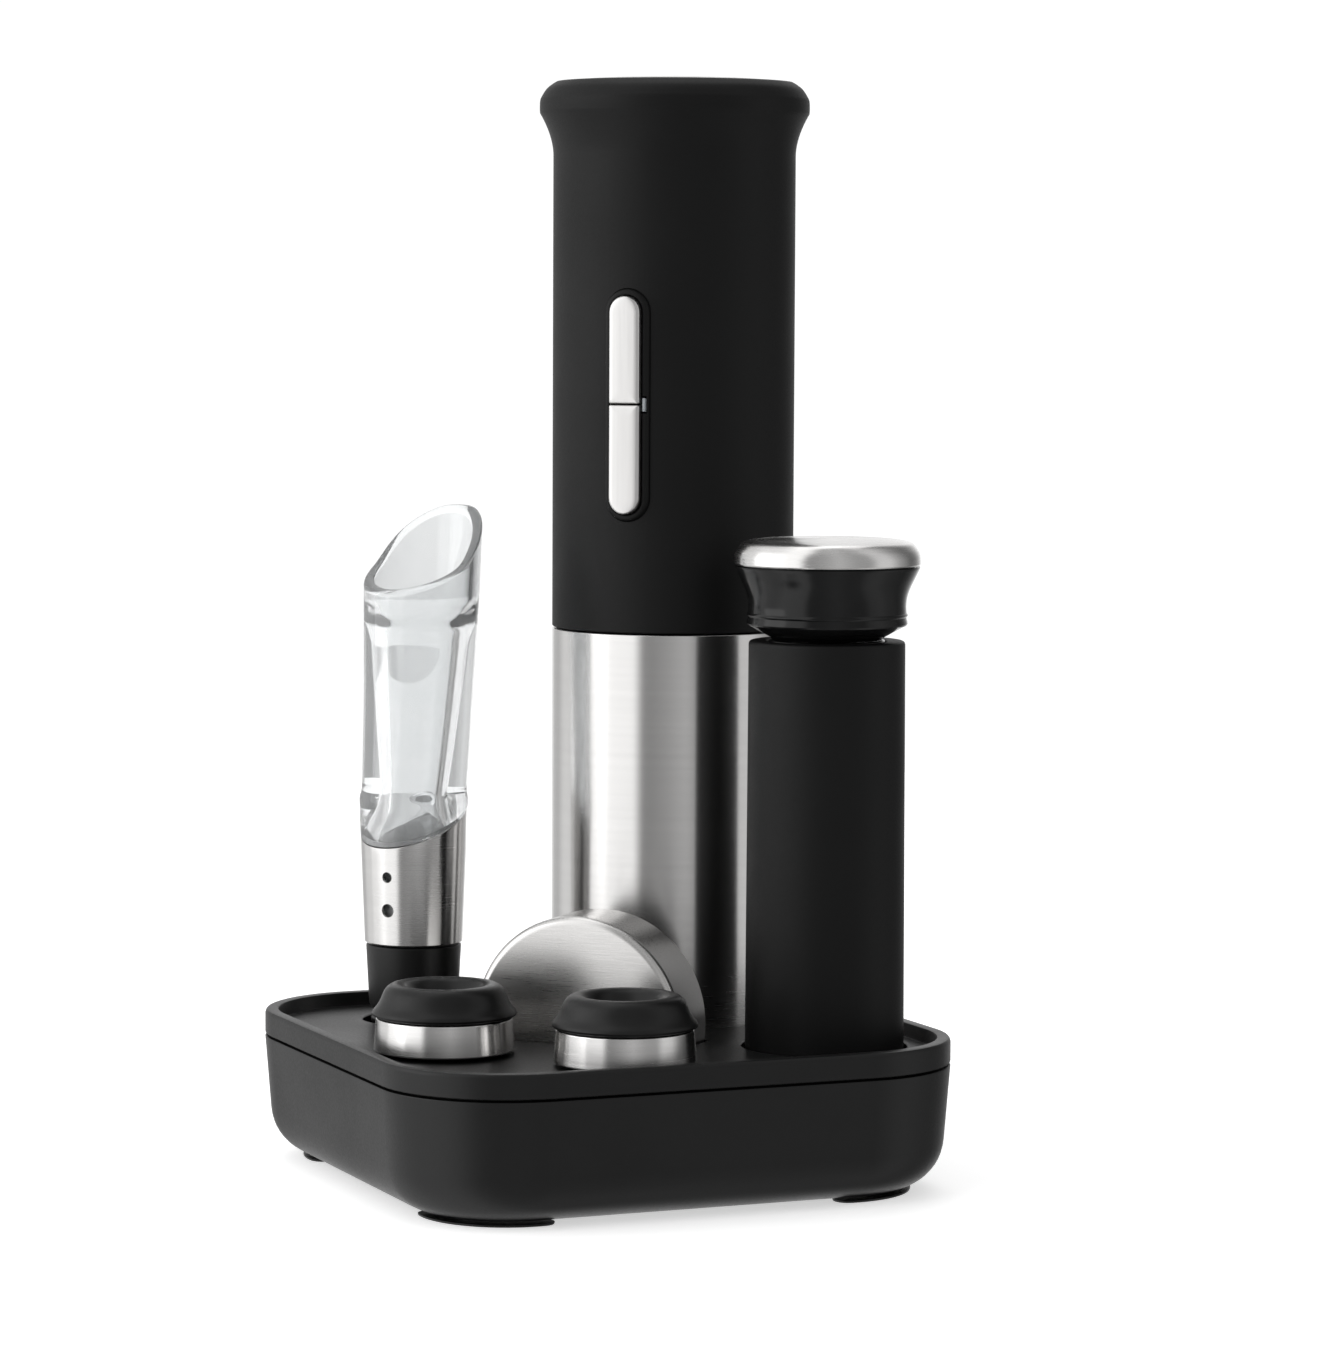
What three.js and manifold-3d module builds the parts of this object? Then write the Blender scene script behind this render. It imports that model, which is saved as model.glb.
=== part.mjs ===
// Electric wine opener set on its stand: a cordless corkscrew with a planetary drive, a vacuum
// pump, an aerating pourer, two vacuum stoppers and a foil cutter, all standing in a square base.
//
// Millimetres, +Z up.  The origin is the middle of the base's footprint, on the table.  The base
// stands on the diagonal: one rounded corner points to -Y (the front), one to +Y (the back).

import * as THREE from 'three';
import { mergeVertices } from 'three/addons/utils/BufferGeometryUtils.js';
import Module from 'manifold-3d';

const wasm = await Module();
wasm.setup();

// ---------------------------------------------------------------- driving dimensions

const GAP = 0.3;                       // clearance between neighbouring pieces
const FINE = 28;                       // facets round the big tubes
const MEDIUM = 20;                     // facets round the stoppers, knob and foil cutter
const COARSE = 12;                     // facets round pins, cells and screws

const BASE = {
  side: 127.5, corner: 27.6, foot: 0.8, shellTop: 27.0, deckBottom: 27.8, deckTop: 30.0,
  rimTop: 33.1, rimWidth: 3.0, wall: 2.4, draft: 4.5, fillet: 11.0, wellFloor: 11.0, wellWall: 1.8,
};
const SCREW = { at: 42.5, shank: 1.4, head: 2.8, headBottom: 1.8, headTop: 3.3, top: 8.9, boss: 3.5 };

const OPENER = {
  y: 40, radius: 27, bottom: 11.3, seam: 116.8, top: 238.2, flare: 30, flareZ: 233.4, wall: 2.6,
};
const NECK = { stop: 50.5, bore: 15.8, mouth: 20.0, cork: 12.6 };
const WORM = { tip: 53.5, top: 101.0, radius: 3.1, wire: 1.3, pitch: 9.0 };
const CARRIAGE = { bottom: 99.5, hubTop: 107.5, top: 165.0, hub: 9.3, sleeve: 6.5 };
const BUTTON = { bottom: 143.1, top: 190.8, split: 167.2, width: 6.7, face: 29.4, rim: 1.85 };
const CELL = { radius: 5.25, bottom: 119.8, top: 164.3, ring: 18.6 };
const GEAR = { module: 0.7, sun: 12, planet: 12, ring: 36, bottom: 172.8, top: 183.2 };
const GEARBOX = { radius: 15.5, bottom: 168.4, top: 186.0 };
const MOTOR = { radius: 12.0, bottom: 189.0, top: 222.0 };

const PUMP = { x: 49.2, y: 6.7, bottomRadius: 17.2, topRadius: 16.8, top: 117.4, bore: 12.8 };
const KNOB = { bottom: 118.1, seam: 133.6, top: 139.5, widest: 20.0 };

const POURER = { x: -48.3, y: 6.3, plug: 10.6, sleeveBottom: 47.2, collar: 80.0, tip: 144.3 };
const POUR_WAY = 76;                   // degrees: the way the spout leans and pours, from +X

const STOPPER = { x: 20.8, y: -37.0, ring: 15.1, ringBottom: 30.8, ringTop: 37.8, top: 45.0 };

const FOIL = { face: -15.0, depth: 16.0, radius: 24.0, height: 33.6, bore: 14.5 };
const FOIL_WHEEL = { radius: 4.2, ring: 16.2, from: 9.4, to: 10.6, count: 4 };

const DEGREES = Math.PI / 180;

// ---------------------------------------------------------------- finishes

function finish(colour, roughness, metalness) {
  return () => new THREE.MeshStandardMaterial({ color: colour, roughness, metalness });
}

const BASE_PLASTIC = finish(0x222224, 0.62, 0);
const SOFT_TOUCH = finish(0x161617, 0.7, 0);
const GLOSS_BLACK = finish(0x101012, 0.22, 0);
const RUBBER = finish(0x1c1c1d, 0.8, 0);
const STEEL = finish(0xb9b6b1, 0.3, 1);
const SATIN_STEEL = finish(0xc6c3be, 0.4, 1);
const CLEAR_ACRYLIC = finish(0xdfe6e8, 0.06, 0);
const GREY_LENS = finish(0x9aa0a4, 0.35, 0);
const INNER_PLASTIC = finish(0x3b3c3f, 0.55, 0);
const GEAR_NYLON = finish(0xd8d4c8, 0.5, 0);
const BRASS = finish(0xc29a4a, 0.3, 1);
const BOARD = finish(0x1f5a35, 0.5, 0);
const CELL_WRAP = finish(0x3c6f9c, 0.45, 0);

// ---------------------------------------------------------------- solid modelling helpers

/** Signed volume of a triangle list, positive when its faces point out. */
function signedVolume(points, triangles) {
  const a = new THREE.Vector3();
  const b = new THREE.Vector3();
  const c = new THREE.Vector3();
  let volume = 0;
  for (let i = 0; i < triangles.length; i += 3) {
    a.fromArray(points, 3 * triangles[i]);
    b.fromArray(points, 3 * triangles[i + 1]);
    c.fromArray(points, 3 * triangles[i + 2]);
    volume += a.dot(b.cross(c)) / 6;
  }
  return volume;
}

/** A closed three.js geometry as a solid that can be joined and cut. */
function solid(geometry) {
  const bare = geometry.clone();
  bare.deleteAttribute('normal');
  bare.deleteAttribute('uv');
  const merged = mergeVertices(bare, 1e-4);
  const points = new Float32Array(merged.attributes.position.array);
  let triangles = [];
  for (let i = 0; i < merged.index.count; i += 3) {
    const [a, b, c] = [0, 1, 2].map((k) => merged.index.getX(i + k));
    if (a !== b && b !== c && c !== a) {
      triangles.push(a, b, c);
    }
  }
  if (signedVolume(points, triangles) < 0) {
    triangles = triangles.reverse();
  }
  const mesh = new wasm.Mesh({ numProp: 3, vertProperties: points, triVerts: new Uint32Array(triangles) });
  return new wasm.Manifold(mesh);
}

/** A solid's surface as a three.js geometry. */
function surface(body) {
  const mesh = body.getMesh();
  const geometry = new THREE.BufferGeometry();
  geometry.setAttribute('position', new THREE.BufferAttribute(new Float32Array(mesh.vertProperties), 3));
  geometry.setIndex(new THREE.BufferAttribute(new Uint32Array(mesh.triVerts), 1));
  geometry.computeVertexNormals();
  return geometry;
}

/** Adds one named piece to an assembly. */
function addPiece(assembly, name, body, makeFinish) {
  const mesh = new THREE.Mesh(surface(body), makeFinish());
  mesh.name = name;
  assembly.add(mesh);
}

function join(first, ...rest) {
  return rest.reduce((sum, body) => sum.add(body), first);
}

function cut(first, ...rest) {
  return rest.reduce((left, body) => left.subtract(body), first);
}

/** A turned piece: radius and height pairs, on the Z axis. */
function turned(profile, facets) {
  const points = profile.map(([radius, z]) => new THREE.Vector2(radius, z));
  return solid(new THREE.LatheGeometry(points, facets).rotateX(Math.PI / 2));
}

/** A turned ring, whose outline closes on itself. */
function turnedRing(profile, facets) {
  return turned([...profile, profile[0]], facets);
}

function rod(radius, z0, z1, facets = COARSE) {
  return turned([[0, z0], [radius, z0], [radius, z1], [0, z1]], facets);
}

function tube(inner, outer, z0, z1, facets = COARSE) {
  return turnedRing([[inner, z0], [outer, z0], [outer, z1], [inner, z1]], facets);
}

function block([x0, x1], [y0, y1], [z0, z1]) {
  const geometry = new THREE.BoxGeometry(x1 - x0, y1 - y0, z1 - z0);
  return solid(geometry.translate((x0 + x1) / 2, (y0 + y1) / 2, (z0 + z1) / 2));
}

/** A skin through a stack of outlines with equally many corners, closed at both ends. */
function lofted(outlines) {
  const corners = outlines[0].length;
  const positions = outlines.flat().flatMap((point) => point.toArray());
  const triangles = [];
  for (let level = 0; level + 1 < outlines.length; level += 1) {
    for (let i = 0; i < corners; i += 1) {
      const a = level * corners + i;
      const b = level * corners + ((i + 1) % corners);
      triangles.push(a, b, b + corners, a, b + corners, a + corners);
    }
  }
  const top = (outlines.length - 1) * corners;
  for (let i = 1; i + 1 < corners; i += 1) {
    triangles.push(0, i + 1, i, top, top + i, top + i + 1);
  }
  const geometry = new THREE.BufferGeometry();
  geometry.setAttribute('position', new THREE.Float32BufferAttribute(positions, 3));
  geometry.setIndex(triangles);
  return solid(geometry);
}

/** The base's rounded square at one height, pulled in from its full size. */
function baseOutline(inset, z, cornerSteps = 4) {
  const radius = BASE.corner - inset;
  const centre = BASE.side / 2 - BASE.corner;
  const outline = [];
  for (let quarter = 0; quarter < 4; quarter += 1) {
    const turn = (45 + 90 * quarter) * DEGREES;
    const x = Math.SQRT2 * centre * Math.cos(turn);
    const y = Math.SQRT2 * centre * Math.sin(turn);
    for (let step = 0; step <= cornerSteps; step += 1) {
      const angle = turn + (90 * step / cornerSteps - 45) * DEGREES;
      outline.push(new THREE.Vector3(x + radius * Math.cos(angle), y + radius * Math.sin(angle), z));
    }
  }
  return outline;
}

/** An upright pill-shaped bar whose flat faces look along Y, centred on x = 0. */
function pill(width, z0, z1, y0, y1) {
  const r = width / 2;
  const shape = new THREE.Shape();
  shape.absarc(0, z1 - r, r, 0, Math.PI);
  shape.absarc(0, z0 + r, r, Math.PI, 2 * Math.PI);
  const settings = { depth: y1 - y0, bevelEnabled: false, curveSegments: 8 };
  const geometry = new THREE.ExtrudeGeometry(shape, settings);
  return solid(geometry.rotateX(Math.PI / 2).translate(0, y1, 0));
}

/** A toothed bar along Z. toothAt turns the teeth; widths are half angles at the root and the tip. */
function toothed(teeth, rootRadius, tipRadius, rootWidth, tipWidth, toothAt, z0, z1) {
  const shape = new THREE.Shape();
  for (let tooth = 0; tooth < teeth; tooth += 1) {
    const middle = toothAt + 2 * Math.PI * tooth / teeth;
    const corners = [
      [rootRadius, -rootWidth], [tipRadius, -tipWidth], [tipRadius, tipWidth], [rootRadius, rootWidth],
    ];
    for (const [radius, offset] of corners) {
      const x = radius * Math.cos(middle + offset);
      const y = radius * Math.sin(middle + offset);
      if (tooth === 0 && offset === -rootWidth) {
        shape.moveTo(x, y);
      } else {
        shape.lineTo(x, y);
      }
    }
  }
  const geometry = new THREE.ExtrudeGeometry(shape, { depth: z1 - z0, bevelEnabled: false });
  return solid(geometry.translate(0, 0, z0));
}

/** A small spur gear of the drive's module. */
function spurGear(teeth, toothAt, z0, z1) {
  const pitchRadius = GEAR.module * teeth / 2;
  const root = pitchRadius - 0.8;
  const tip = pitchRadius + 0.6;
  return toothed(teeth, root, tip, 0.6 / root, 0.2 / tip, toothAt, z0, z1);
}

function assemblyAt(x, y) {
  const assembly = new THREE.Group();
  assembly.position.set(x, y, 0);
  return assembly;
}

// ---------------------------------------------------------------- the stand

/** Outline levels of the base's side: a slightly drafted wall that rounds into a flat bottom. */
function baseSide(offset, top, steps) {
  const draft = BASE.draft * DEGREES;
  const arcZ = BASE.foot + BASE.fillet;
  const wallFoot = arcZ - BASE.fillet * Math.sin(draft);
  const arcInset = (BASE.shellTop - wallFoot) * Math.tan(draft) + BASE.fillet * Math.cos(draft);
  const radius = BASE.fillet - offset;
  const levels = [];
  for (let step = 0; step <= steps; step += 1) {
    const angle = 90 * DEGREES - (90 * DEGREES - draft) * step / steps;
    levels.push(baseOutline(arcInset - radius * Math.cos(angle), arcZ - radius * Math.sin(angle)));
  }
  levels.push(baseOutline(offset, top));
  return levels;
}

function screwPlaces() {
  return [45, 135, 225, 315].map((turn) => {
    const reach = Math.SQRT2 * SCREW.at;
    return [reach * Math.cos(turn * DEGREES), reach * Math.sin(turn * DEGREES)];
  });
}

function makeShell() {
  const skin = lofted(baseSide(0, BASE.shellTop, 4));
  const hollow = lofted(baseSide(BASE.wall, BASE.shellTop + 1, 3));
  let shell = cut(skin, hollow);
  for (const [x, y] of screwPlaces()) {
    const post = rod(4.5, BASE.foot + 2, 5.4).translate([x, y, 0]);
    const hole = rod(SCREW.shank + GAP, 0, 6).translate([x, y, 0]);
    const headSeat = rod(SCREW.head + GAP, 0, SCREW.headTop + GAP).translate([x, y, 0]);
    shell = cut(join(shell, post), hole, headSeat);
  }
  return cut(shell, inletRod(4.0, 55, 70));
}

/** A bar along the inlet's axis, which runs out through the middle of the back right wall. */
function inletRod(radius, from, to) {
  return rod(radius, from, to).rotate([0, 90, 0]).translate([0, 0, 14]);
}

/** Where each tool stands in the deck, in the base's own turned axes. */
function onDeck(body, x, y) {
  return body.translate([x, y, 0]).rotate([0, 0, -45]);
}

function deckWells(grow, floor, top) {
  const well = (radius, x, y, facets) => onDeck(rod(radius + grow, floor, top, facets), x, y);
  return [
    well(OPENER.radius + 0.6, 0, OPENER.y, FINE),
    well(PUMP.bottomRadius + 0.6, PUMP.x, PUMP.y, MEDIUM),
    well(POURER.plug + 0.6, POURER.x, POURER.y, COARSE),
    well(10.2, STOPPER.x, STOPPER.y, COARSE),
    well(10.2, -STOPPER.x, STOPPER.y, COARSE),
  ];
}

/** The trough that holds the lower half of the foil cutter, with a round bottom. */
function foilTrough(grow) {
  const radius = FOIL.radius + 0.6 + grow;
  const y0 = FOIL.face - 0.8 - grow;
  const y1 = FOIL.face + FOIL.depth + 0.8 + grow;
  const drum = rod(radius, -y1, -y0, FINE).rotate([90, 0, 0]).translate([0, 0, FOIL.height]);
  return onDeck(drum, 0, 0);
}

function makeDeck() {
  const { deckBottom, deckTop, rimTop, rimWidth } = BASE;
  const rim = [baseOutline(0, deckBottom), baseOutline(0, rimTop - 0.8), baseOutline(0.8, rimTop)];
  const recess = [baseOutline(rimWidth + 0.6, deckTop), baseOutline(rimWidth, rimTop + 0.1)];
  const lipInset = BASE.wall + GAP;
  const lip = cut(
    lofted([baseOutline(lipInset, 24.5), baseOutline(lipInset, BASE.deckBottom + 0.5)]),
    lofted([baseOutline(lipInset + 1.5, 24), baseOutline(lipInset + 1.5, BASE.deckBottom + 1)]),
  );
  const cups = deckWells(BASE.wellWall, BASE.wellFloor - BASE.wellWall, BASE.deckTop - 1);
  const bosses = screwPlaces().map(([x, y]) => rod(SCREW.boss, 5.7, BASE.deckTop - 1).translate([x, y, 0]));
  const belowDeck = block([-60, 60], [-60, 60], [0, BASE.deckTop - 1]).rotate([0, 0, 45]);
  const plate = cut(lofted(rim), lofted(recess));
  const underside = foilTrough(1.6).intersect(belowDeck);
  const body = join(plate, lip, underside, ...cups, ...bosses);
  const holes = screwPlaces().map(([x, y]) => rod(SCREW.shank + GAP, 5, 9.2).translate([x, y, 0]));
  return cut(body, foilTrough(0), ...deckWells(0, BASE.wellFloor, BASE.rimTop + 5), ...holes, ...pinHoles());
}

const PIN_REACH = 21.5;

function pinHoles() {
  return [-PIN_REACH, PIN_REACH].map((x) => onDeck(rod(1.5, 5, 12), x, OPENER.y));
}

/** Contact pin that feeds the opener: a flange below the well's floor and a domed top. */
function makeChargePin() {
  return turned([[0, 7.7], [2.4, 7.7], [2.4, 8.9], [1.2, 8.9], [1.2, 12.3], [0.7, 12.8], [0, 12.8]], 8);
}

function makeScrew() {
  const { shank, head, headBottom, headTop, top } = SCREW;
  return turned([[0, headBottom], [head, headBottom], [head, headTop - 0.4], [shank, headTop],
    [shank, top - 0.8], [0, top]], 8);
}

/** Rubber foot: a pad curved round the corner. */
function makeFoot(turn) {
  const pad = new THREE.Shape();
  const spread = 60 * DEGREES;
  pad.absarc(0, 0, 19.2, -spread, spread);
  pad.absarc(0, 0, 12.8, spread, -spread, true);
  const settings = { depth: BASE.foot - GAP, bevelEnabled: false, curveSegments: 6 };
  const geometry = new THREE.ExtrudeGeometry(pad, settings);
  const corner = Math.SQRT2 * (BASE.side / 2 - BASE.corner);
  return solid(geometry.translate(corner, 0, 0).rotateZ(turn * DEGREES));
}

function makeInlet() {
  const outline = [[0, 48], [5.2, 48], [5.2, 58.4], [3.7, 58.4], [3.7, 62.2], [2.9, 62.2], [2.9, 51.5],
    [0.9, 51.5], [0.9, 60.5], [0, 60.5]];
  return turned(outline, COARSE).rotate([0, 90, 0]).translate([0, 0, 14]);
}

function makeStand() {
  const stand = new THREE.Group();
  const turnedSquare = new THREE.Group();
  turnedSquare.rotation.z = 45 * DEGREES;
  stand.add(turnedSquare);
  addPiece(turnedSquare, 'base_shell', makeShell(), BASE_PLASTIC);
  addPiece(turnedSquare, 'base_deck', makeDeck(), BASE_PLASTIC);
  screwPlaces().forEach(([x, y], i) => {
    addPiece(turnedSquare, `base_screw_${i + 1}`, makeScrew().translate([x, y, 0]), STEEL);
  });
  addPiece(turnedSquare, 'dc_inlet', makeInlet(), GLOSS_BLACK);
  const feet = { foot_right: 0, foot_back: 90, foot_left: 180, foot_front: 270 };
  for (const [name, turn] of Object.entries(feet)) {
    addPiece(stand, name, makeFoot(turn), RUBBER);
  }
  addPiece(stand, 'charge_pin_left', makeChargePin().translate([-PIN_REACH, OPENER.y, 0]), BRASS);
  addPiece(stand, 'charge_pin_right', makeChargePin().translate([PIN_REACH, OPENER.y, 0]), BRASS);
  return stand;
}

// ---------------------------------------------------------------- the opener's casing

function makeSteelTube() {
  return tube(OPENER.radius - 1, OPENER.radius, OPENER.bottom, OPENER.seam - 0.2, FINE);
}

/** Rounded flare at the top of the handle, as radius and height pairs going up. */
function flareOutline() {
  const outline = [[OPENER.radius, OPENER.seam + 0.2], [OPENER.radius, 222]];
  for (let step = 1; step <= 3; step += 1) {
    const swing = step / 3;
    const rise = OPENER.flareZ - 2.2 - 222;
    outline.push([OPENER.radius + (OPENER.flare - OPENER.radius) * swing ** 1.8, 222 + rise * swing]);
  }
  outline.push([OPENER.flare, OPENER.flareZ + 0.6], [OPENER.flare - 0.7, OPENER.flareZ + 1.9]);
  outline.push([26.8, OPENER.top - 0.3], [26.3, OPENER.top], [24.3, OPENER.top]);
  return outline;
}

function makeHandle() {
  const inner = OPENER.radius - OPENER.wall;
  const inside = [[24.3, 236.6], [22.0, 236.6], [22.0, 233.6], [inner, 233.6], [inner, OPENER.seam + 0.2]];
  const sleeve = turnedRing([...flareOutline(), ...inside], FINE);
  const slotMargin = BUTTON.rim + GAP;
  const slot = pill(2 * bezelHalf() + 2 * GAP, BUTTON.bottom - slotMargin, BUTTON.top + slotMargin, -35, -15);
  return cut(sleeve, slot);
}

function bezelHalf() {
  return BUTTON.width / 2 + BUTTON.rim;
}

/** Black surround that holds both buttons, clipped behind the handle's wall. */
function makeBezel() {
  const z0 = BUTTON.bottom - BUTTON.rim;
  const z1 = BUTTON.top + BUTTON.rim;
  const frame = pill(2 * bezelHalf(), z0, z1, -27.8, -22.4);
  const clip = block([-6, 6], [-23.2, -22.4], [z0 - 1.5, z1 + 1.5]);
  const opening = pill(BUTTON.width + 2 * GAP, BUTTON.bottom - GAP, BUTTON.top + GAP, -30, -20);
  const lensPocket = block([3.4, 4.9], [-30, -20], [165.2, 169.0]);
  return cut(join(frame, clip), opening, lensPocket);
}

/** One half of the long steel pill, with a wider foot behind the surround. */
function makeButton(z0, z1) {
  const whole = pill(BUTTON.width, BUTTON.bottom, BUTTON.top, -BUTTON.face, -21.6);
  const foot = block([-4.1, 4.1], [-22.1, -21.3], [z0 + 1, z1 - 1]);
  return join(whole.intersect(block([-10, 10], [-40, 0], [z0, z1])), foot);
}

/** Circuit board with the two press switches soldered on it. */
function makeSwitchBoard() {
  const board = block([-7, 7], [-17.4, -15.9], [146, 188]);
  const switches = [155.0, 179.0].flatMap((z) => [
    block([-3, 3], [-20.0, -17.3], [z - 3, z + 3]),
    rod(1.6, 19.9, 20.3, 10).rotate([90, 0, 0]).translate([0, 0, z]),
  ]);
  return join(board, ...switches);
}

/** Spool that stops the bottle's rim and leads its neck to the middle. */
function makeNeckGuide() {
  const outer = OPENER.radius - 1 - GAP;
  const { stop, bore, mouth, cork } = NECK;
  const bottom = OPENER.bottom + 0.4;
  const guide = turnedRing([[mouth, bottom], [outer, bottom], [outer, bottom + 3], [bore + 4.6, bottom + 3],
    [bore + 2, bottom + 11], [bore + 2, stop - 2], [outer, stop - 2], [outer, stop + 1.6], [cork, stop + 1.6],
    [cork, stop], [bore, stop], [bore, bottom + 10]], MEDIUM);
  const pads = [-PIN_REACH, PIN_REACH].map((x) => rod(2.1, 0, bottom + 2.3, 12).translate([x, 0, 0]));
  return cut(guide, ...pads);
}

function makeChargePad() {
  return rod(1.8, 13.1, 13.7, 12);
}

/** Barrel that the cork is drawn up into, with four ribs that keep it from turning. */
function makeGuideBarrel() {
  const bottom = NECK.stop + 1.9;
  const flange = OPENER.radius - 1 - GAP;
  const barrel = turnedRing([[NECK.cork, bottom], [NECK.cork + 2, bottom], [NECK.cork + 2, 113.5],
    [flange, 113.5], [flange, 116.3], [NECK.cork, 116.3]], MEDIUM);
  const ribs = [45, 135, 225, 315].map((turn) => (
    block([NECK.cork - 2, NECK.cork + 1], [-0.6, 0.6], [bottom, 96]).rotate([0, 0, turn])
  ));
  return join(barrel, ...ribs);
}

/** Two round plates on a central sleeve, which carry the cells and the gearbox. */
function makeChassis() {
  const reach = OPENER.radius - OPENER.wall - 0.4;
  const spool = turnedRing([[8, 117.2], [reach, 117.2], [reach, 119.4], [10, 119.4], [10, 165.6],
    [reach, 165.6], [reach, 168.0], [5, 168.0], [5, 166.2], [8, 166.2]], MEDIUM);
  return cut(spool, block([-9, 9], [-30, -13], [140, 190]));
}

function makeCell(turn) {
  const { radius, bottom, top, ring } = CELL;
  const outline = [[0, bottom], [radius, bottom], [radius, top - 1], [1.8, top - 1], [1.8, top], [0, top]];
  const cell = turned(outline, COARSE);
  return cell.translate([ring * Math.cos(turn * DEGREES), ring * Math.sin(turn * DEGREES), 0]);
}

function makeTopCap() {
  return turned([[0, 236.9], [24.0, 236.9], [24.0, 238.1], [20, 238.7], [10, 239.2], [0, 239.3]], FINE);
}

// ---------------------------------------------------------------- the opener's drive

/** Fixed ring gear, in one piece with the gearbox's cup. */
function makeRingGear() {
  const halfTooth = Math.PI / GEAR.ring;
  const cup = tube(5.0, GEARBOX.radius, GEARBOX.bottom, GEARBOX.top, MEDIUM);
  const pitchRadius = GEAR.module * GEAR.ring / 2;
  const toothTip = pitchRadius - 0.6;
  const toothRoot = pitchRadius + 0.8;
  const tipWidth = halfTooth - 0.2 / toothTip;
  const rootWidth = halfTooth - 0.6 / toothRoot;
  const teeth = toothed(GEAR.ring, toothTip, toothRoot, tipWidth, rootWidth, halfTooth,
    GEARBOX.bottom + 1.5, GEARBOX.top + 1);
  return cut(cup, teeth);
}

function planetPlaces() {
  const reach = GEAR.module * (GEAR.sun + GEAR.planet) / 2;
  return [0, 120, 240].map((turn) => [reach * Math.cos(turn * DEGREES), reach * Math.sin(turn * DEGREES)]);
}

/** Planet carrier, in one piece with the six-sided shaft that drives the carriage. */
function makePlanetCarrier() {
  const plate = rod(11.2, 170.3, 172.3, MEDIUM);
  const shaft = rod(3.4, 109.5, 171, 6);
  const pins = planetPlaces().map(([x, y]) => rod(1.2, 172, 184.4, 10).translate([x, y, 0]));
  return join(plate, shaft, ...pins);
}

function makePlanet([x, y]) {
  const gear = spurGear(GEAR.planet, Math.PI / GEAR.planet, GEAR.bottom, GEAR.top);
  return cut(gear, rod(1.5, GEAR.bottom - 1, GEAR.top + 1, 10)).translate([x, y, 0]);
}

/** Sun gear on the end of the motor's shaft. */
function makeSunGear() {
  return join(spurGear(GEAR.sun, 0, GEAR.bottom, GEAR.top), rod(1.2, GEAR.top - 1, MOTOR.bottom + 4, 12));
}

/** Cup that covers the gearbox and centres the motor. */
function makeMotorMount() {
  const { radius } = GEARBOX;
  const inner = MOTOR.radius + GAP;
  const outline = [[4, 186.3], [radius, 186.3], [radius, 202], [inner, 202], [inner, 188.7], [4, 188.7]];
  return turnedRing(outline, MEDIUM);
}

function makeMotor() {
  const { radius, bottom, top } = MOTOR;
  const can = turned([[0, bottom], [radius, bottom], [radius, top - 1.2], [radius - 1.2, top], [4, top],
    [4, top + 2], [0, top + 2]], MEDIUM);
  return cut(can, rod(1.6, bottom - 1, bottom + 4.5, 12));
}

/** Carriage that the shaft turns and the screw's feed slides: a sleeve with a six-sided bore. */
function makeCarriage() {
  const { bottom, hubTop, top, hub, sleeve } = CARRIAGE;
  const outline = [[0, bottom], [hub, bottom], [hub, hubTop], [sleeve, hubTop], [sleeve, top], [0, top]];
  const body = turned(outline, 16);
  return cut(body, rod(3.4 + GAP + 0.1, hubTop + 0.5, top + 1, 6), rod(5.0, bottom - 1, 104.0));
}

class Helix extends THREE.Curve {
  getPoint(t, target = new THREE.Vector3()) {
    const z = WORM.top - (WORM.top - WORM.tip - 2) * t;
    const turn = 2 * Math.PI * (z - WORM.tip) / WORM.pitch;
    return target.set(WORM.radius * Math.cos(turn), WORM.radius * Math.sin(turn), z);
  }
}

/** The corkscrew: a right-handed steel wire helix under a round shank, ending in a point. */
function makeWorm() {
  const path = new Helix();
  const section = new THREE.Shape().absarc(0, 0, WORM.wire, 0, 2 * Math.PI);
  const wire = solid(new THREE.ExtrudeGeometry(section, {
    steps: 50, extrudePath: path, curveSegments: 3, bevelEnabled: false,
  }));
  const end = path.getPoint(1);
  const ahead = path.getTangent(1);
  const point = new THREE.ConeGeometry(WORM.wire * 0.95, 3.4, 8).translate(0, 1.2, 0);
  point.applyQuaternion(new THREE.Quaternion().setFromUnitVectors(new THREE.Vector3(0, 1, 0), ahead));
  const shank = rod(4.7, 99.8, 103.7);
  return join(wire, solid(point.translate(end.x, end.y, end.z)), shank);
}

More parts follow.
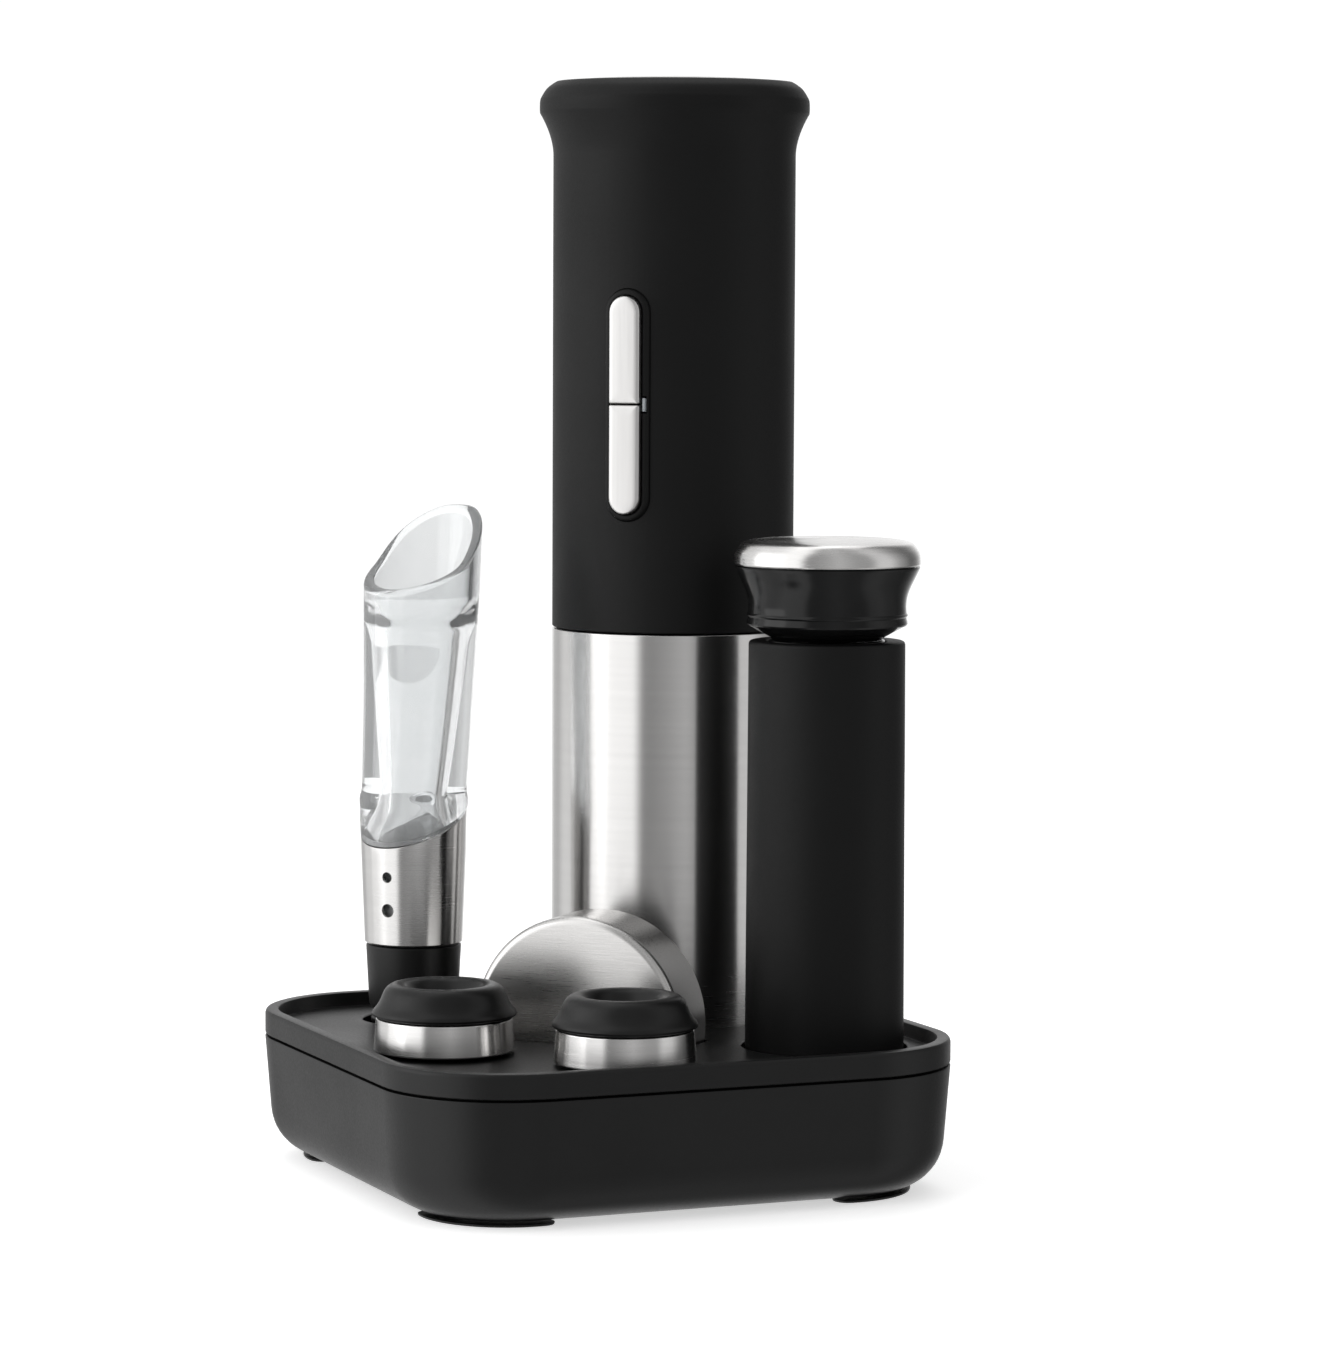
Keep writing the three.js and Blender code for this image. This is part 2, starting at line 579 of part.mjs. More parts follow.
function makeOpener() {
  const opener = assemblyAt(0, OPENER.y);
  addPiece(opener, 'steel_tube', makeSteelTube(), STEEL);
  addPiece(opener, 'handle_sleeve', makeHandle(), SOFT_TOUCH);
  addPiece(opener, 'top_cap', makeTopCap(), SATIN_STEEL);
  addPiece(opener, 'button_bezel', makeBezel(), SOFT_TOUCH);
  addPiece(opener, 'button_up', makeButton(BUTTON.split + 0.15, BUTTON.top), SATIN_STEEL);
  addPiece(opener, 'button_down', makeButton(BUTTON.bottom, BUTTON.split - 0.15), SATIN_STEEL);
  addPiece(opener, 'status_lens', block([3.95, 4.6], [-28.1, -22.5], [165.6, 168.6]), GREY_LENS);
  addPiece(opener, 'switch_board', makeSwitchBoard(), BOARD);
  addPiece(opener, 'neck_guide', makeNeckGuide(), INNER_PLASTIC);
  addPiece(opener, 'charge_pad_left', makeChargePad().translate([-PIN_REACH, 0, 0]), BRASS);
  addPiece(opener, 'charge_pad_right', makeChargePad().translate([PIN_REACH, 0, 0]), BRASS);
  addPiece(opener, 'guide_barrel', makeGuideBarrel(), INNER_PLASTIC);
  addPiece(opener, 'chassis', makeChassis(), INNER_PLASTIC);
  [90, -10, 190].forEach((turn, i) => addPiece(opener, `battery_cell_${i + 1}`, makeCell(turn), CELL_WRAP));
  addPiece(opener, 'ring_gear', makeRingGear(), GEAR_NYLON);
  addPiece(opener, 'planet_carrier', makePlanetCarrier(), STEEL);
  planetPlaces().forEach((place, i) => {
    addPiece(opener, `planet_gear_${i + 1}`, makePlanet(place), GEAR_NYLON);
  });
  addPiece(opener, 'sun_gear', makeSunGear(), BRASS);
  addPiece(opener, 'motor_mount', makeMotorMount(), INNER_PLASTIC);
  addPiece(opener, 'motor', makeMotor(), STEEL);
  addPiece(opener, 'worm_carriage', makeCarriage(), INNER_PLASTIC);
  addPiece(opener, 'worm', makeWorm(), STEEL);
  return opener;
}

// ---------------------------------------------------------------- the vacuum pump

/** Pump body: an open bell that sits over a stopper, a valve wall, and the cylinder above it. */
function makePumpBody() {
  const { bottomRadius, topRadius, top, bore } = PUMP;
  const bottom = BASE.wellFloor + GAP;
  return turnedRing([[14.4, bottom], [bottomRadius, bottom], [topRadius, top - 0.8], [topRadius - 0.8, top],
    [bore, top], [bore, 28.5], [2, 28.5], [2, 26], [14.4, 26]], MEDIUM);
}

function makePumpGland() {
  const radius = PUMP.bore - GAP;
  return tube(4.5, radius, 111, 117.6, MEDIUM);
}

/** Pull rod with the piston at its lower end. */
function makePumpRod() {
  return turned([[0, 33], [12.2, 33], [12.2, 35], [10.4, 35], [10.4, 38], [12.2, 38], [12.2, 40], [4.2, 40],
    [4.2, 129.7], [0, 129.7]], 16);
}

function makePumpKnob() {
  const { bottom, seam, widest } = KNOB;
  const knob = turned([[0, bottom], [12.0, bottom], [16.7, 120.8], [17.4, 123.0], [17.1, 126.0],
    [17.9, 128.2], [19.1, 130.2], [widest, seam - 0.2], [18.4, seam - 0.2], [18.4, 137.2],
    [0, 137.2]], MEDIUM);
  return cut(knob, rod(4.5, bottom - 1, 130, 16));
}

/** Pressed steel cap over the knob. */
function makeKnobCap() {
  const { seam, top, widest } = KNOB;
  return turned([[0, 137.6], [18.7, 137.6], [18.7, seam + 0.1], [widest, seam + 0.1], [19.9, 135.6],
    [19.2, 137.4], [17.9, 138.6], [9.5, 139.3], [0, top]], MEDIUM);
}

function makePump() {
  const pump = assemblyAt(PUMP.x, PUMP.y);
  addPiece(pump, 'pump_body', makePumpBody(), SOFT_TOUCH);
  addPiece(pump, 'pump_gland', makePumpGland(), GLOSS_BLACK);
  addPiece(pump, 'pump_rod', makePumpRod(), INNER_PLASTIC);
  addPiece(pump, 'piston_seal', tube(10.7, 12.5, 35.3, 37.7, 16), RUBBER);
  addPiece(pump, 'pump_mouth_seal', tube(12.8, 14.1, 12.5, 16.5, MEDIUM), RUBBER);
  addPiece(pump, 'pump_knob', makePumpKnob(), GLOSS_BLACK);
  addPiece(pump, 'knob_cap', makeKnobCap(), SATIN_STEEL);
  return pump;
}

// ---------------------------------------------------------------- the aerating pourer

/** Everything above the slanted seam between the spout's collar and the steel sleeve. */
function aboveSeam(lift) {
  const slope = 23.5 * DEGREES;
  const slab = block([-40, 40], [-40, 40], [0, 60]);
  return slab.rotate([0, -slope / DEGREES, 0]).translate([0, 0, 74.1 + lift]).rotate([0, 0, POUR_WAY]);
}

function makePourerPlug() {
  const bottom = BASE.wellFloor + GAP;
  return turnedRing([[3.6, bottom], [8.6, bottom], [9.6, 14], [9.6, 24], [10.3, 28], [POURER.plug, 46.9],
    [3.6, 46.9]], 16);
}

function makePourerSleeve() {
  const outside = [[10.9, POURER.sleeveBottom], [11.7, 68], [11.9, 81]];
  const inside = [[11.1, 81], [10.9, 68], [10.1, 49], [4.4, 49], [4.4, POURER.sleeveBottom]];
  const holes = [[55.2, 1.5], [62.6, 1.2]].map(([z, radius]) => (
    rod(radius, 5, 15, 8).rotate([90, 0, 0]).translate([0, 0, z]).rotate([0, 0, -6])
  ));
  return cut(turnedRing([...outside, ...inside], MEDIUM), aboveSeam(0), ...holes);
}

/** Middle of the spout at one height: it leans towards the pouring side. */
function spoutLean(z) {
  return 3.0 * Math.max(0, (z - 80) / 50) ** 0.8;
}

function spoutCircle(radius, z) {
  const outline = [];
  for (let i = 0; i < MEDIUM; i += 1) {
    const angle = 2 * Math.PI * i / MEDIUM;
    outline.push(new THREE.Vector3(spoutLean(z) + radius * Math.cos(angle), radius * Math.sin(angle), z));
  }
  return outline;
}

/** The scooped mouth: the space above the lip's curve, as seen from the side. */
function spoutMouth() {
  const lip = new THREE.SplineCurve([[-16, 123], [-10, 125.3], [-5, 127.6], [0, 130], [3, 131.9],
    [6.4, 135.3], [9.5, 138.4], [12.2, 140.8], [14.3, 142.6], [16.6, POURER.tip], [19, POURER.tip],
  ].map(([x, z]) => new THREE.Vector2(x, z)));
  const shape = new THREE.Shape(lip.getPoints(14));
  shape.lineTo(19, 170);
  shape.lineTo(-16, 170);
  const geometry = new THREE.ExtrudeGeometry(shape, { depth: 40, bevelEnabled: false });
  return solid(geometry.rotateX(Math.PI / 2).translate(0, 20, 0));
}

/** Clear spout: a collar seated on the sleeve, a leaning tube with a scooped mouth, an air funnel. */
function makeSpout() {
  const outside = [[10.5, 60], [10.5, 66], [11.7, 66.1], [12.1, 79.5], [11.6, 81], [12.2, 105], [12.9, 125],
    [13.1, 145]];
  const inside = [[3.2, 50], [3.2, 74], [4.9, 79], [7.4, 115], [10.4, 122], [11.0, 146]];
  const skin = lofted(outside.map(([radius, z]) => spoutCircle(radius, z)));
  const bore = lofted(inside.map(([radius, z]) => spoutCircle(radius, z)));
  const stem = rod(9.6, 51, 76, MEDIUM);
  const aboveSleeve = skin.intersect(aboveSeam(GAP).rotate([0, 0, -POUR_WAY]));
  return cut(join(aboveSleeve, stem), bore, spoutMouth());
}

function makePourer() {
  const pourer = assemblyAt(POURER.x, POURER.y);
  addPiece(pourer, 'pourer_plug', makePourerPlug(), RUBBER);
  addPiece(pourer, 'pourer_sleeve', makePourerSleeve(), STEEL);
  addPiece(pourer, 'pourer_spout', makeSpout().rotate([0, 0, POUR_WAY]), CLEAR_ACRYLIC);
  return pourer;
}

// ---------------------------------------------------------------- the vacuum stoppers

/** Rubber stopper: a ribbed plug, a waist that carries the steel ring, and a dished cap. */
function makeStopperRubber() {
  return turned([[0, 13], [8.4, 13], [9.4, 16], [9.4, 28], [9.6, 30.3], [13.4, 30.3], [13.4, 30.5],
    [11.9, 30.5], [11.9, 38.1], [15.0, 38.1], [15.4, 38.8], [13.8, 41], [12.0, 43.6],
    [10.6, STOPPER.top], [8.6, STOPPER.top], [6.4, 42.6], [6.0, 41.2], [0, 41.2]], MEDIUM);
}

function makeStopperRing() {
  const { ring, ringBottom, ringTop } = STOPPER;
  return turnedRing([[12.2, ringBottom], [ring - 0.4, ringBottom], [ring, ringBottom + 0.4],
    [ring, ringTop - 0.4], [ring - 0.4, ringTop], [12.2, ringTop]], MEDIUM);
}

function makeStopper(side, x) {
  const stopper = assemblyAt(x, STOPPER.y);
  addPiece(stopper, `stopper_${side}_rubber`, makeStopperRubber(), RUBBER);
  addPiece(stopper, `stopper_${side}_ring`, makeStopperRing(), SATIN_STEEL);
  return stopper;
}

// ---------------------------------------------------------------- the foil cutter

function wheelPlaces() {
  const places = [];
  for (let i = 0; i < FOIL_WHEEL.count; i += 1) {
    const turn = 2 * Math.PI * (i + 0.5) / FOIL_WHEEL.count;
    places.push([FOIL_WHEEL.ring * Math.cos(turn), FOIL_WHEEL.ring * Math.sin(turn)]);
  }
  return places;
}

/** Steel cup: closed face, rounded edge, open back. Its axis is Z until it is stood on edge. */
function makeFoilShell() {
  const { radius, depth } = FOIL;
  return turned([[0, 0], [radius - 1.6, 0], [radius - 0.5, 0.5], [radius, 1.6], [radius, depth],
    [radius - 1, depth], [radius - 1, 1.4], [0, 1.4]], FINE);
}

/** Plastic core with a round mouth for the bottle and a slot that carries the cutting wheels. */
function makeFoilCore() {
  const { depth, bore } = FOIL;
  const reach = FOIL.radius - 1 - GAP;
  const body = turned([[0, 1.7], [reach, 1.7], [reach, depth - 0.4], [bore + 1.2, depth - 0.4],
    [bore, depth - 2], [bore, 11.2], [20.8, 11.2], [20.8, 8.8], [bore, 8.8], [bore, 4.2],
    [0, 4.2]], MEDIUM);
  const pins = wheelPlaces().map(([x, y]) => rod(0.9, 8.5, 11.5, 10).translate([x, y, 0]));
  return join(body, ...pins);
}

function makeFoilWheel([x, y]) {
  const { radius, from, to } = FOIL_WHEEL;
  const middle = (from + to) / 2;
  return turnedRing([[1.2, from], [radius - 0.8, from], [radius, middle], [radius - 0.8, to], [1.2, to]], 10)
    .translate([x, y, 0]);
}

function makeFoilCutter() {
  const cutter = new THREE.Group();
  cutter.position.set(0, FOIL.face, FOIL.height);
  cutter.rotation.x = -90 * DEGREES;
  addPiece(cutter, 'foil_shell', makeFoilShell(), STEEL);
  addPiece(cutter, 'foil_core', makeFoilCore(), INNER_PLASTIC);
  wheelPlaces().forEach((place, i) => addPiece(cutter, `foil_wheel_${i + 1}`, makeFoilWheel(place), STEEL));
  return cutter;
}

// ---------------------------------------------------------------- the whole set

const wineOpener = new THREE.Group();
wineOpener.add(makeStand());
wineOpener.add(makeOpener());
wineOpener.add(makePump());
wineOpener.add(makePourer());
wineOpener.add(makeStopper('left', -STOPPER.x));
wineOpener.add(makeStopper('right', STOPPER.x));
wineOpener.add(makeFoilCutter());

export default wineOpener;
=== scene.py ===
"""Looks of the electric wine opener set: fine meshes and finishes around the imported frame.

Every sub-assembly is a class.  Its sizes are fields in millimetres, its places come from the
frame, and its methods build the meshes and dress them.  Blender's own units are metres.
"""

import logging
import math
from dataclasses import dataclass, field
from enum import Enum
from typing import Callable, ClassVar, Iterable, Optional, Sequence

import bmesh
import bpy
from mathutils import Matrix, Vector


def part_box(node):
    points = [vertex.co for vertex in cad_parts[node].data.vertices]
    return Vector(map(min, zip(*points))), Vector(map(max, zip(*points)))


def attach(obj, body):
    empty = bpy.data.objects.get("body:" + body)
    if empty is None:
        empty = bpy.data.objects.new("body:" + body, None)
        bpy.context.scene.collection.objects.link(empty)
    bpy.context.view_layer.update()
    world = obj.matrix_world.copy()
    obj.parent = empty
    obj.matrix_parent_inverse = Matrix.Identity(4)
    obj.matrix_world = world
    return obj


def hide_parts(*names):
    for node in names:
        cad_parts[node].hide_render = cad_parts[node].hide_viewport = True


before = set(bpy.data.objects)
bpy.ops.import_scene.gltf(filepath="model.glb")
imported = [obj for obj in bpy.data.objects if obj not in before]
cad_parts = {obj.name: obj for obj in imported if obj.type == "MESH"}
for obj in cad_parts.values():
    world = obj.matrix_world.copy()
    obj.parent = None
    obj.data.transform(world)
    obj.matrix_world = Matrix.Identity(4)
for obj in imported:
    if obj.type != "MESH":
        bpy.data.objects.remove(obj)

LOG = logging.getLogger("wine_opener")
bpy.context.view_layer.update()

MM = 0.001
SMOOTH_ANGLE = math.radians(32)
FACE_WEIGHT = 60
MERGE_DISTANCE = 1e-7
ON_AXIS = 1e-6
QUARTER_TURN = math.pi / 2
SIDES = ("left", "right")

Outline = Sequence[tuple[float, ...]]
Flat = list[tuple[float, float]]
Solid = list[tuple[float, float, float]]
Piece = bpy.types.Object
Socket = bpy.types.NodeSocket


# ------------------------------------------------------------------ outlines


def rounded(outline: Outline, closed: bool = False, steps: int = 5) -> Flat:
    """Rounds an outline's corners.

    Args:
        outline: corners as (radius, height) or (radius, height, fillet), in millimetres.
        closed: whether the last corner joins the first.
        steps: arc steps at each rounded corner.

    Returns:
        The outline's points, with an arc in place of each corner that has a fillet.
    """
    points: Flat = []
    count = len(outline)
    for i, corner in enumerate(outline):
        here = Vector(corner[:2])
        fillet = corner[2] if len(corner) > 2 else 0.0
        inner = closed or 0 < i < count - 1
        if fillet <= 0 or not inner:
            points.append((here.x, here.y))
            continue
        before = Vector(outline[i - 1][:2]) - here
        after = Vector(outline[(i + 1) % count][:2]) - here
        half = before.angle(after) / 2
        reach = min(fillet / math.tan(half), 0.49 * before.length, 0.49 * after.length)
        start = here + before.normalized() * reach
        end = here + after.normalized() * reach
        for step in range(steps + 1):
            t = step / steps
            a = start.lerp(here, t)
            b = here.lerp(end, t)
            point = a.lerp(b, t)
            points.append((point.x, point.y))
    return points


def flowing(knots: Outline, steps: int = 8) -> Flat:
    """A smooth curve through all the knots (Catmull-Rom).

    Args:
        knots: points that the curve passes through.
        steps: points made for each span.

    Returns:
        The curve's points, the first and last knot included.
    """
    chain = [Vector(k[:2]) for k in knots]
    chain = [2 * chain[0] - chain[1], *chain, 2 * chain[-1] - chain[-2]]
    points: Flat = []
    for i in range(1, len(chain) - 2):
        p0, p1, p2, p3 = chain[i - 1:i + 3]
        for step in range(steps):
            t = step / steps
            point = 0.5 * (2 * p1 + (p2 - p0) * t + (2 * p0 - 5 * p1 + 4 * p2 - p3) * t * t
                           + (3 * p1 - p0 - 3 * p2 + p3) * t ** 3)
            points.append((point.x, point.y))
    points.append((chain[-2].x, chain[-2].y))
    return points


def pill_outline(width: float, low: float, high: float, steps: int = 14) -> Flat:
    """An upright pill: half circles at both ends.

    Args:
        width: the pill's width in millimetres.
        low: height of its lower end.
        high: height of its upper end.
        steps: arc steps at each end.

    Returns:
        The pill's (x, z) points.
    """
    r = width / 2
    top = [(r * math.cos(a), high - r + r * math.sin(a)) for a in _sweep(0, math.pi, steps)]
    bottom = [(r * math.cos(a), low + r + r * math.sin(a)) for a in _sweep(math.pi, 2 * math.pi, steps)]
    return top + bottom


def half_pill_outline(width: float, low: float, high: float, round_top: bool) -> Flat:
    """Half of a long pill: one end a half circle, the other cut square with small corners.

    Args:
        width: the pill's width in millimetres.
        low: height of its lower end.
        high: height of its upper end.
        round_top: whether the half circle is at the top.

    Returns:
        The half's (x, z) points.
    """
    r = width / 2
    corner = 0.35
    if round_top:
        arc = [(r * math.cos(a), high - r + r * math.sin(a)) for a in _sweep(0, math.pi, 14)]
        return arc + _square_end(-r, r, low, corner)
    arc = [(r * math.cos(a), low + r + r * math.sin(a)) for a in _sweep(math.pi, 2 * math.pi, 14)]
    return arc + [(-x, 2 * high - z) for x, z in _square_end(-r, r, high, corner)]


def _square_end(left: float, right: float, z: float, corner: float) -> Flat:
    """The two small round corners at a square end.

    Args:
        left: x of the left edge.
        right: x of the right edge.
        z: height of the end.
        corner: radius of the corners.

    Returns:
        The points, going from left to right.
    """
    first = [(left + corner - corner * math.cos(a), z + corner - corner * math.sin(a))
             for a in _sweep(0, math.pi / 2, 4)]
    second = [(right - corner + corner * math.sin(a), z + corner - corner * math.cos(a))
              for a in _sweep(0, math.pi / 2, 4)]
    return first + second


def _sweep(start: float, end: float, steps: int) -> list[float]:
    """Evenly spaced angles from start to end."""
    return [start + (end - start) * i / steps for i in range(steps + 1)]


# ------------------------------------------------------------------ meshes


def new_piece(name: str, vertices: Iterable[Sequence[float]],
              faces: Iterable[Sequence[int]]) -> Piece:
    """Makes a mesh object from points in millimetres.

    Args:
        name: the piece's name.
        vertices: points in millimetres, in the row frame.
        faces: corner indices of each face.

    Returns:
        The new object, linked to the scene, with its faces turned out.
    """
    mesh = bpy.data.meshes.new(name)
    mesh.from_pydata([Vector(v) * MM for v in vertices], [], [tuple(f) for f in faces])
    builder = bmesh.new()
    builder.from_mesh(mesh)
    bmesh.ops.remove_doubles(builder, verts=builder.verts, dist=MERGE_DISTANCE)
    bmesh.ops.recalc_face_normals(builder, faces=builder.faces)
    builder.to_mesh(mesh)
    builder.free()
    piece = bpy.data.objects.new(name, mesh)
    bpy.context.scene.collection.objects.link(piece)
    return piece


def skin(name: str, loops: Sequence[Sequence[Sequence[float]]], ring: bool = False) -> Piece:
    """Skins a stack of closed loops that all have the same number of points.

    Args:
        name: the piece's name.
        loops: the loops, in millimetres.
        ring: whether the last loop joins the first; otherwise both ends are capped.

    Returns:
        The closed piece.
    """
    size = len(loops[0])
    levels = len(loops)
    vertices = [point for loop in loops for point in loop]
    faces: list[tuple[int, ...]] = []
    for level in range(levels if ring else levels - 1):
        lower = level * size
        upper = ((level + 1) % levels) * size
        for i in range(size):
            j = (i + 1) % size
            faces.append((lower + i, lower + j, upper + j, upper + i))
    if not ring:
        faces.append(tuple(reversed(range(size))))
        faces.append(tuple(range((levels - 1) * size, levels * size)))
    return new_piece(name, vertices, faces)


def turned(name: str, outline: Outline, centre: Sequence[float], ring: bool = False,
           facets: int = 96) -> Piece:
    """Turns an outline round an upright axis.

    Args:
        name: the piece's name.
        outline: (radius, height) pairs in millimetres; from axis to axis unless ring.
        centre: the axis's x and y in millimetres.
        ring: whether the outline closes on itself.
        facets: steps round the axis.

    Returns:
        The closed piece.
    """
    x, y = centre[:2]
    vertices: Solid = []
    rows: list[list[int]] = []
    for radius, z in outline:
        if radius < ON_AXIS:
            rows.append([len(vertices)] * facets)
            vertices.append((x, y, z))
            continue
        rows.append(list(range(len(vertices), len(vertices) + facets)))
        for i in range(facets):
            angle = 2 * math.pi * i / facets
            vertices.append((x + radius * math.cos(angle), y + radius * math.sin(angle), z))
    faces: list[tuple[int, ...]] = []
    spans = list(zip(rows, rows[1:] + ([rows[0]] if ring else [])))
    for low, high in spans:
        for i in range(facets):
            j = (i + 1) % facets
            corners = list(dict.fromkeys((low[i], low[j], high[j], high[i])))
            if len(corners) > 2:
                faces.append(tuple(corners))
    return new_piece(name, vertices, faces)


def cylinder(name: str, centre: Sequence[float], radius: float, low: float, high: float,
             facets: int) -> Piece:
    """A plain upright cylinder that joins or cuts another piece."""
    return turned(name, [(0, low), (radius, low), (radius, high), (0, high)], centre, facets=facets)


def move_mesh(piece: Piece, matrix: Matrix) -> Piece:
    """Moves a piece's mesh, in metres, and leaves its origin where it is."""
    piece.data.transform(matrix)
    return piece


def smooth(piece: Piece, angle: float = SMOOTH_ANGLE) -> Piece:
    """Smooth shading, weighted by face size.

    Args:
        piece: the piece to shade.
        angle: edges sharper than this stay sharp.

    Returns:
        The piece.
    """
    mesh = piece.data
    mesh.polygons.foreach_set("use_smooth", [True] * len(mesh.polygons))
    mesh.set_sharp_from_angle(angle=angle)
    weigh = piece.modifiers.new("even_light", "WEIGHTED_NORMAL")
    weigh.keep_sharp = True
    weigh.weight = FACE_WEIGHT
    return piece


class Operation(Enum):
    """How two solids are combined."""

    JOIN = "UNION"
    CUT = "DIFFERENCE"
    KEEP = "INTERSECT"


def combine(piece: Piece, tools: Sequence[Piece], operation: Operation) -> Piece:
    """Joins or cuts a piece with tool solids, which are used up.

    Args:
        piece: the solid that stays.
        tools: the solids that join or cut it.
        operation: what is done with them.

    Returns:
        The piece, with the result in its mesh.
    """
    for tool in tools:
        change = piece.modifiers.new("solid", "BOOLEAN")
        change.object = tool
        change.operation = operation.value
        change.solver = "EXACT"
        evaluated = piece.evaluated_get(bpy.context.evaluated_depsgraph_get())
        result = bpy.data.meshes.new_from_object(evaluated)
        piece.modifiers.clear()
        old = piece.data
        piece.data = result
        bpy.data.meshes.remove(old)
        bpy.data.objects.remove(tool)
    piece.data.name = piece.name
    return piece


def rounded_block(name: str, low: Sequence[float], high: Sequence[float], edge: float) -> Piece:
    """A box with bevelled edges.

    Args:
        name: the piece's name.
        low: the corner with the least x, y and z, in millimetres.
        high: the corner with the greatest.
        edge: width of the bevels.

    Returns:
        The box.
    """
    builder = bmesh.new()
    bmesh.ops.create_cube(builder, size=1.0)
    middle = (Vector(low) + Vector(high)) / 2
    size = Vector(high) - Vector(low)
    for vertex in builder.verts:
        vertex.co = Vector(a * b for a, b in zip(vertex.co, size)) + middle
    bmesh.ops.bevel(builder, geom=builder.edges, offset=edge, segments=3, profile=0.5, affect="EDGES")
    vertices = [tuple(v.co) for v in builder.verts]
    faces = [tuple(v.index for v in f.verts) for f in builder.faces]
    builder.free()
    return new_piece(name, vertices, faces)


def node_centre(node: str) -> Vector:
    """Middle of a frame node's box, in millimetres."""
    low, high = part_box(node)
    return (low + high) / (2 * MM)


# ------------------------------------------------------------------ finishes


class Recipe:
    """A material's nodes while a finish puts them together."""

    def __init__(self, name: str) -> None:
        """Starts a material.

        Args:
            name: the material's name.
        """
        self.material = bpy.data.materials.new(name)
        self.material.use_nodes = True
        self.tree = self.material.node_tree
        self.shader = self.tree.nodes["Principled BSDF"]

    def node(self, kind: str, settings: Optional[dict] = None, **inputs: object) -> bpy.types.Node:
        """Adds a node.

        Args:
            kind: the node's type.
            settings: its properties.
            **inputs: its sockets, with _ for a space, each with a value or an output to link.

        Returns:
            The node.
        """
        made = self.tree.nodes.new(kind)
        for key, value in (settings or {}).items():
            setattr(made, key, value)
        for key, value in inputs.items():
            self.feed(made, key.replace("_", " "), value)
        return made

    def feed(self, node: bpy.types.Node, socket: str, value: object) -> None:
        """Sets or links one input.

        Args:
            node: the node that has the input.
            socket: the input's name or number.
            value: a value, or an output to link.
        """
        target = node.inputs[int(socket)] if socket.isdigit() else node.inputs[socket]
        if isinstance(value, Socket):
            self.tree.links.new(value, target)
        else:
            target.default_value = value

    def surface(self, **values: object) -> None:
        """Sets or links inputs of the surface shader."""
        for key, value in values.items():
            self.feed(self.shader, key.replace("_", " "), value)

    def place(self) -> Socket:
        """The point on the piece, in metres."""
        return self.node("ShaderNodeTexCoord").outputs["Object"]

    def math(self, operation: str, a: object, b: object = 0.0) -> Socket:
        """One arithmetic step.

        Args:
            operation: Blender's name for it.
            a: the first number or output.
            b: the second.

        Returns:
            The result's output.
        """
        made = self.node("ShaderNodeMath", {"operation": operation})
        self.feed(made, "0", a)
        self.feed(made, "1", b)
        return made.outputs[0]

    def noise(self, where: object, scale: float, detail: float = 3.0, rough: float = 0.5) -> Socket:
        """Soft noise from 0 to 1."""
        made = self.node("ShaderNodeTexNoise", Vector=where, Scale=scale, Detail=detail, Roughness=rough)
        return made.outputs["Fac"]

    def spread(self, value: object, low: float, high: float, start: float = 0.3,
               end: float = 0.7) -> Socket:
        """Maps a noise's usual span to the span wanted.

        Args:
            value: the noise.
            low: what the least of it becomes.
            high: what the most of it becomes.
            start: the least of the noise.
            end: the most of the noise.

        Returns:
            The mapped value.
        """
        made = self.node("ShaderNodeMapRange", Value=value)
        for socket, number in zip(("From Min", "From Max", "To Min", "To Max"), (start, end, low, high)):
            made.inputs[socket].default_value = number
        return made.outputs["Result"]

    def shades(self, value: object, dark: Sequence[float], light: Sequence[float]) -> Socket:
        """A colour between two shades.

        Args:
            value: a noise that says how light the colour is.
            dark: the shade where the noise is least.
            light: the shade where the noise is most.

        Returns:
            The colour.
        """
        ramp = self.node("ShaderNodeValToRGB", Fac=value)
        for stop, position, shade in zip(ramp.color_ramp.elements, (0.3, 0.7), (dark, light)):
            stop.position = position
            stop.color = (*shade, 1)
        return ramp.outputs["Color"]

    def bump(self, height: object, strength: float, depth: float) -> None:
        """Relief of the surface: depth in metres."""
        made = self.node("ShaderNodeBump", Height=height, Strength=strength, Distance=depth)
        self.surface(Normal=made.outputs["Normal"])

    def stretched(self, x: float, y: float, z: float) -> Socket:
        """The point on the piece, stretched along each axis.

        Args:
            x: scale along X.
            y: scale along Y.
            z: scale along Z.

        Returns:
            The stretched point.
        """
        scaled = self.node("ShaderNodeVectorMath", {"operation": "MULTIPLY"})
        self.feed(scaled, "0", self.place())
        self.feed(scaled, "1", (x, y, z))
        return scaled.outputs[0]


def grey(value: float, warm: float = 0.0) -> tuple[float, float, float]:
    """A grey, a little warm or, below zero, a little cool."""
    return (value * (1 + warm), value, value * (1 - warm))


